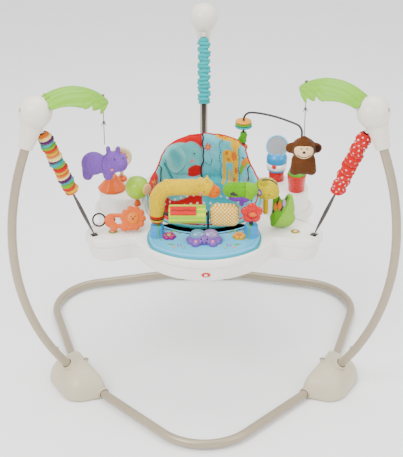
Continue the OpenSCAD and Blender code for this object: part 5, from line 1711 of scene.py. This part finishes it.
def drum():
    n, y, z = 18, -184.0, 498.0
    edge = [(7, 0), (20.5, 0), (22.2, 0.8), (22.8, 2.4)]
    profile = edge + [(22.8, h) for h in np.linspace(4, 86, 12)] + [(r, 90 - h) for r, h in reversed(edge)]
    soup = Soup().add(*lathe(profile, (-86, y, z), (1, 0, 0), 180, radius=lambda a, r, h: r - (0.9 * (0.5 - 0.5 * math.cos(n * a)) ** 3 if r > 20 else 0)))
    obj = soup.piece("roller", plastic("roller_plastic", printed=True, rough=0.25, coat=0.4))
    x, yy, zz = mm(obj).T
    a = np.arctan2(zz - z, yy - y)
    ink = Print(len(x), 0xA6DC14)
    ink.lay(0.05 - np.cos(a * n / 2), 0xE6F02A, 0.2)
    paint(obj, ink.c)
    settle(obj, "drum", ["roller_drum"])
    d = Vector((0, -math.sin(math.radians(45)), math.cos(math.radians(45))))
    place = frame_at(Vector((-51, y, z)) + d * 19.0, d, (1, 0, 0))
    bar = soft_outline([(-31.5, -10.5), (31.5, -10.5), (31.5, 10.5), (-31.5, 10.5)], 1.5, 1.2)
    soup = Soup().add(*plate(bar, round_levels(0, 9.0, 1.8), place), 0)
    wave = [place((u, 1.2 * math.sin(u / 5.0), 9.0)) for u in np.linspace(-22, 22, 40)]
    soup.add(*sweep(wave, 1.1, 8), 1)
    for u in (-26, 26):
        soup.add(*lathe([(2.2, 8.6), (2.2, 9.5), (1.4, 9.9), (0.2, 9.9)], place((u, 0, 0)), d, 20), 1)
    soup.piece("roller_paddle", [MAT["red"], plastic("paddle_trim", 0x6B3A24, rough=0.35)], "drum", "red_plastic", ["drum_paddle"])


def spinner():
    cx, cz = 115.0, 506.0
    shapes = [ellipsoid((cx, -195, cz), (15, 7, 15))]
    shapes += [ellipsoid((cx + 15 * math.sin(k * 2 * math.pi / 5), -195, cz + 15 * math.cos(k * 2 * math.pi / 5)), (12.6, 6.6, 12.6)) for k in range(5)]
    settle(blob("spinner_petals", shapes, MAT["red"], 1.3, 5), "flower", ["flower_spinner"])
    soup = Soup().add(*ellipsoid((cx + 2, -202, cz - 1), (9, 4.5, 6.2)), 0)
    soup.add(*lathe([(11.5, 0), (12.4, 0.8), (12.4, 1.8), (11.2, 2.6)], (cx, -200, cz), (0, -1, 0), 48, caps=(False, False)), 1)
    soup.piece("spinner_knob", [MAT["orange"], MAT["red"]], "flower", "red_plastic")


def lion():
    tilt = Matrix.Rotation(math.radians(58), 3, "X")
    home = Vector((-176, -128, 456))
    place = lambda p: home + tilt @ Vector(p)
    z_axis = tilt @ Vector((0, 0, 1))
    edge = lambda r: [(r - 2.6, 0), (r - 0.8, 0.8), (r, 2.8), (r, 8.2), (r - 0.8, 10.2), (r - 2.6, 11)]
    puck = lambda x, y, r: lathe(edge(r), place((x, y, 0)), z_axis, 40)
    shapes = [puck(0, 0, 25)] + [puck(24 * math.cos(k * math.pi / 5), 24 * math.sin(k * math.pi / 5), 8) for k in range(10)]
    shapes += [puck(-48, -24, 9), puck(-22, -24, 9), puck(-48, -16, 8), puck(-22, -16, 8)]
    loop = [place((-34 + s * 20 + 13 * math.cos(a) * 1.0, -6 + 13 * math.sin(a), 5.5)) for s, a0 in ((1, -90), (-1, 90)) for a in [math.radians(a0 + 15 * k) for k in range(13)]]
    shapes.append(sweep(loop, 5.3, 14, caps=False, closed=True))
    shapes += [puck(-57, -6, 11), puck(-17, -6, 11)]
    settle(blob("lion_body", shapes, MAT["lion"], 1.3, 4), "teether", ["lion_teether"])
    # the raised mane rings, rays and face dome are a lighter copy of the vinyl: painted highlight on the relief
    soup = Soup()
    for r, w in ((16.5, 1.0), (23.5, 0.7)):
        soup.add(*sweep([place((r * math.cos(t), r * math.sin(t), 11)) for t in [2 * math.pi * i / 48 for i in range(48)]], w, 8, caps=False, closed=True), 0)
    soup.add(*lathe([(15.6, 10.6), (15.2, 11.8), (12, 13), (6, 13.6), (0.3, 13.8)], place((0, 0, 0)), z_axis, 40), 0)
    for x, y, r, m in ((-5, 4, 1.5, 1), (5, 4, 1.5, 1), (0, -2, 2.4, 1)):
        soup.add(*ellipsoid(place((x, y, 13.2)), (r, r, r), count=8), m)
    for k in range(10):
        a = (k + 0.5) * math.pi / 5
        soup.add(*sweep([place((q * math.cos(a), q * math.sin(a), 11)) for q in (19, 22, 25)], 0.6, 6), 0)
    soup.piece("lion_relief", [plastic("vinyl_painted_highlight", 0xF58F45, rough=0.45, sss=0.15), MAT["dark"]], "teether", "lion_orange")
    ring = [place((-84.5 + 15.5 * math.cos(t), -4 + 15.5 * math.sin(t), 5.5)) for t in [2 * math.pi * i / 40 for i in range(40)]]
    soup = Soup().add(*sweep(ring, 3.6, 10, caps=False, closed=True, flat=0.65, hint=place((-69, -4, 5.5)) - place((-84.5, -4, 5.5))))
    soup.add(*sweep([place((-71, -4, 5.5)), place((-60, -4, 5.5)), place((-44, -3, 5.5))], 3.4, 10, flat=0.5, hint=z_axis))
    soup.piece("teether_loop", MAT["webbing"], "teether", "webbing", ["teether_strap"])


def turned(name, at, profile, mat, body, slot, replaces=(), axis=(0, 0, 1), segments=64):
    return Soup().add(*lathe(profile, at, axis, segments)).piece(name, mat, body, slot, replaces)


def side_toys():
    cone = [(34, 474), (36, 475.5), (35.6, 479), (33, 482)] + [(33 - 20 * t - 3 * math.sin(3.14 * t), 482 + 30 * t) for t in np.linspace(0.1, 1, 10)] + [(10, 514), (0.3, 514.5)]
    soup = Soup().add(*lathe(cone, (-236, 2, 0), (0, 0, 1), 96, radius=lambda a, r, h: r * (1 + 0.015 * math.cos(10 * a))), 0)
    soup.add(*lathe([(9, 474), (8, 480), (5, 486), (4, 503), (0.3, 503.5)], (-167, -88, 0), (0, 0, 1), 40), 0)
    soup.add(*lathe([(14, 474), (14, 480), (12, 483.5), (0.3, 484)], (-214, 52, 0), (0, 0, 1), 48), 0)
    soup.piece("side_cones", [MAT["orange"]], "tray", "orange_plastic", ["disc_base"])
    c = Vector((-167, -88, 521))
    soup = Soup().add(*ellipsoid(c, (29.6, 29.6, 29.6), count=36), 0)
    for k in range(6):
        turn = Matrix.Rotation(math.radians(30 * k), 3, "Z")
        soup.add(*sweep([c + turn @ Vector((29.8 * math.cos(t), 0, 29.8 * math.sin(t))) for t in np.linspace(-1.1, 1.1, 24)], 0.8, 8), 1)
    soup.add(*lathe([(13.5, -3), (14.5, -1), (14.2, 1.2), (12.6, 2.2), (0.3, 2.4)], c + Vector((25, -14, 2)), Vector((0.75, -0.65, 0.05)), 40), 2)
    soup.piece("lime_ball_shell", [MAT["lime"], plastic("ball_rib", 0x8FBF22, rough=0.3), plastic("peach_plastic", 0xE9BE92, rough=0.4)], "ball", "lime_plastic", ["lime_ball"])
    at = Vector((-214, 52, 540))
    rim = [(22, -4.5), (26.5, -5), (28, -3), (28, 3), (26.5, 5), (22, 4.5), (20.5, 2.2), (0.3, 2.2)]
    soup = Soup().add(*lathe([(0.3, -2.2), (20.5, -2.2)] + rim, at, (0, -1, 0), 72), 0)
    for k in range(8):
        a = k * math.pi / 4
        soup.add(*ellipsoid(at + Vector((13 * math.cos(a), -2.6, 13 * math.sin(a))), (3.6, 1.4, 3.6), count=8), 1)
    soup.add(*ellipsoid(at + Vector((0, -2.6, 0)), (5.5, 2.2, 5.5), count=10), 2)
    soup.add(*lathe([(5, 486), (5, 514)], (-214, 52, 0), (0, 0, 1), 32), 0)
    soup.piece("cream_wheel", [MAT["cream"], MAT["orange"], MAT["red"]], "disc", "cream_plastic", ["cream_disc"])
    cup = [(19, 474), (20, 475), (24, 516), (24.6, 518), (23.4, 519)]
    soup = Soup().add(*lathe(cup + [(0.3, 519)], (236, -6, 0), (0, 0, 1), 64), 0)
    soup.add(*lathe([(22.4, 518.6), (22.8, 522), (21.5, 527), (16, 529.6), (0.3, 530)], (236, -6, 0), (0, 0, 1), 64), 1)
    soup.add(*lathe([(20, 474), (20, 498), (18.5, 501), (0.3, 501.5)], (188, 56, 0), (0, 0, 1), 64), 0)
    soup.piece("mirror_stand", [MAT["red"], MAT["green"]], "tray", "red_plastic", ["mirror_base"])
    m = Vector((188, 56, 0))
    tilt = Vector((0, -math.sin(math.radians(62)), math.cos(math.radians(62))))
    body = [(23, 502), (24, 503.5), (25.5, 519), (27, 536), (25.5, 542), (20, 549), (16, 552), (0.3, 552.5)]
    soup = Soup().add(*lathe(body, m, (0, 0, 1), 72), 0)
    soup.add(*lathe([(24.2, 508), (25.2, 508.6), (26.4, 524), (25.6, 524.6)], m, (0, 0, 1), 72, caps=(False, False), radius=lambda a, r, h: r + 0.7), 1)
    top = m + Vector((0, 0, 568))
    dish = [(20, -5), (27, -5), (29, -3), (29, 3.4), (28, 4.8), (26, 5), (25.1, 4.2), (25, 3.1), (0.3, 3.0)]
    soup.add(*lathe([(0.3, -5)] + dish, top, tilt, 80), 2)
    soup.add(*ellipsoid(m + Vector((-8, -25, 521)), (6, 4, 6), count=10), 3)
    soup.add(*ellipsoid(m + Vector((6, -26, 518)), (5, 4, 5), count=10), 4)
    soup.piece("mirror_body", [MAT["sky"], MAT["white"], plastic("light_sky", 0x8CCBEA, rough=0.25, coat=0.4), MAT["red"], MAT["white"]], "mirror", "sky_plastic", ["mirror_housing"])


def beads():
    x, y = 104.0, 150.0
    soup = Soup()
    for i, r in enumerate((23, 22, 21)):
        z = 581.3 + 6.4 * i
        ring = [(4.0, z + 0.2)] + [(r - 3 + 3 * math.cos(t), z + 3 + 3 * math.sin(t)) for t in np.linspace(-1.5, 1.5, 10)] + [(4.0, z + 5.8)]
        soup.add(*lathe(ring, (x, y, 0), (0, 0, 1), 56), i)
    soup.piece("bead_rings", [MAT["teal"], MAT["green"], plastic("bead_peach", 0xF3A95A, rough=0.3, coat=0.3)], "rings", "bead_orange", ["ring_beads"])
    turn = Matrix.Rotation(math.radians(35), 3, "Y")
    shapes = [lathe([(7.5, 537.5), (8.8, 539.5), (8.8, 564), (7.5, 567)], (x, y, 0), (0, 0, 1), 32), ellipsoid((x - 4, y - 5, 549.3), (9.5, 4.6, 21), turn)]
    settle(blob("bead_leaf", shapes, MAT["green"], 1.2, 3), "leaf_bead", ["leaf_bead"])
    soup = Soup().add(*ellipsoid((x + 2, y, 522), (10, 8, 11), Matrix.Rotation(math.radians(30), 3, "Y")), 0)
    soup.add(*ellipsoid((x - 3, y, 503), (9, 7.5, 10), Matrix.Rotation(math.radians(35), 3, "Y")), 1)
    soup.piece("bead_fixed", [MAT["orange"], MAT["green"]], "tray", "bead_green")


for build in (giraffe, pouch, crocodile, spotted_head, leaf_bag, hippo, monkey, drum, spinner, lion, side_toys, beads):
    build()
# ---------------------------------------------------------------- floor

def floor():
    side, step = 12.0, 24
    bm = bmesh.new()
    bmesh.ops.create_grid(bm, x_segments=step, y_segments=step, size=side / 2)
    mesh = bpy.data.meshes.new("floor")
    bm.to_mesh(mesh)
    bm.free()
    obj = bpy.data.objects.new("floor", mesh)
    SCENE.collection.objects.link(obj)
    m, nt, bsdf = new_material("floor_paper")
    net = Net(nt)
    base = rgb((0.93, 0.93, 0.93))
    nt.links.new(net.mix(net.ramp(net.noise(3, 2), 0.3, 0.7), base, shade(base, 0.985)), bsdf.inputs["Base Color"])
    bsdf.inputs["Roughness"].default_value = 0.75
    obj.data.materials.append(m)


floor()
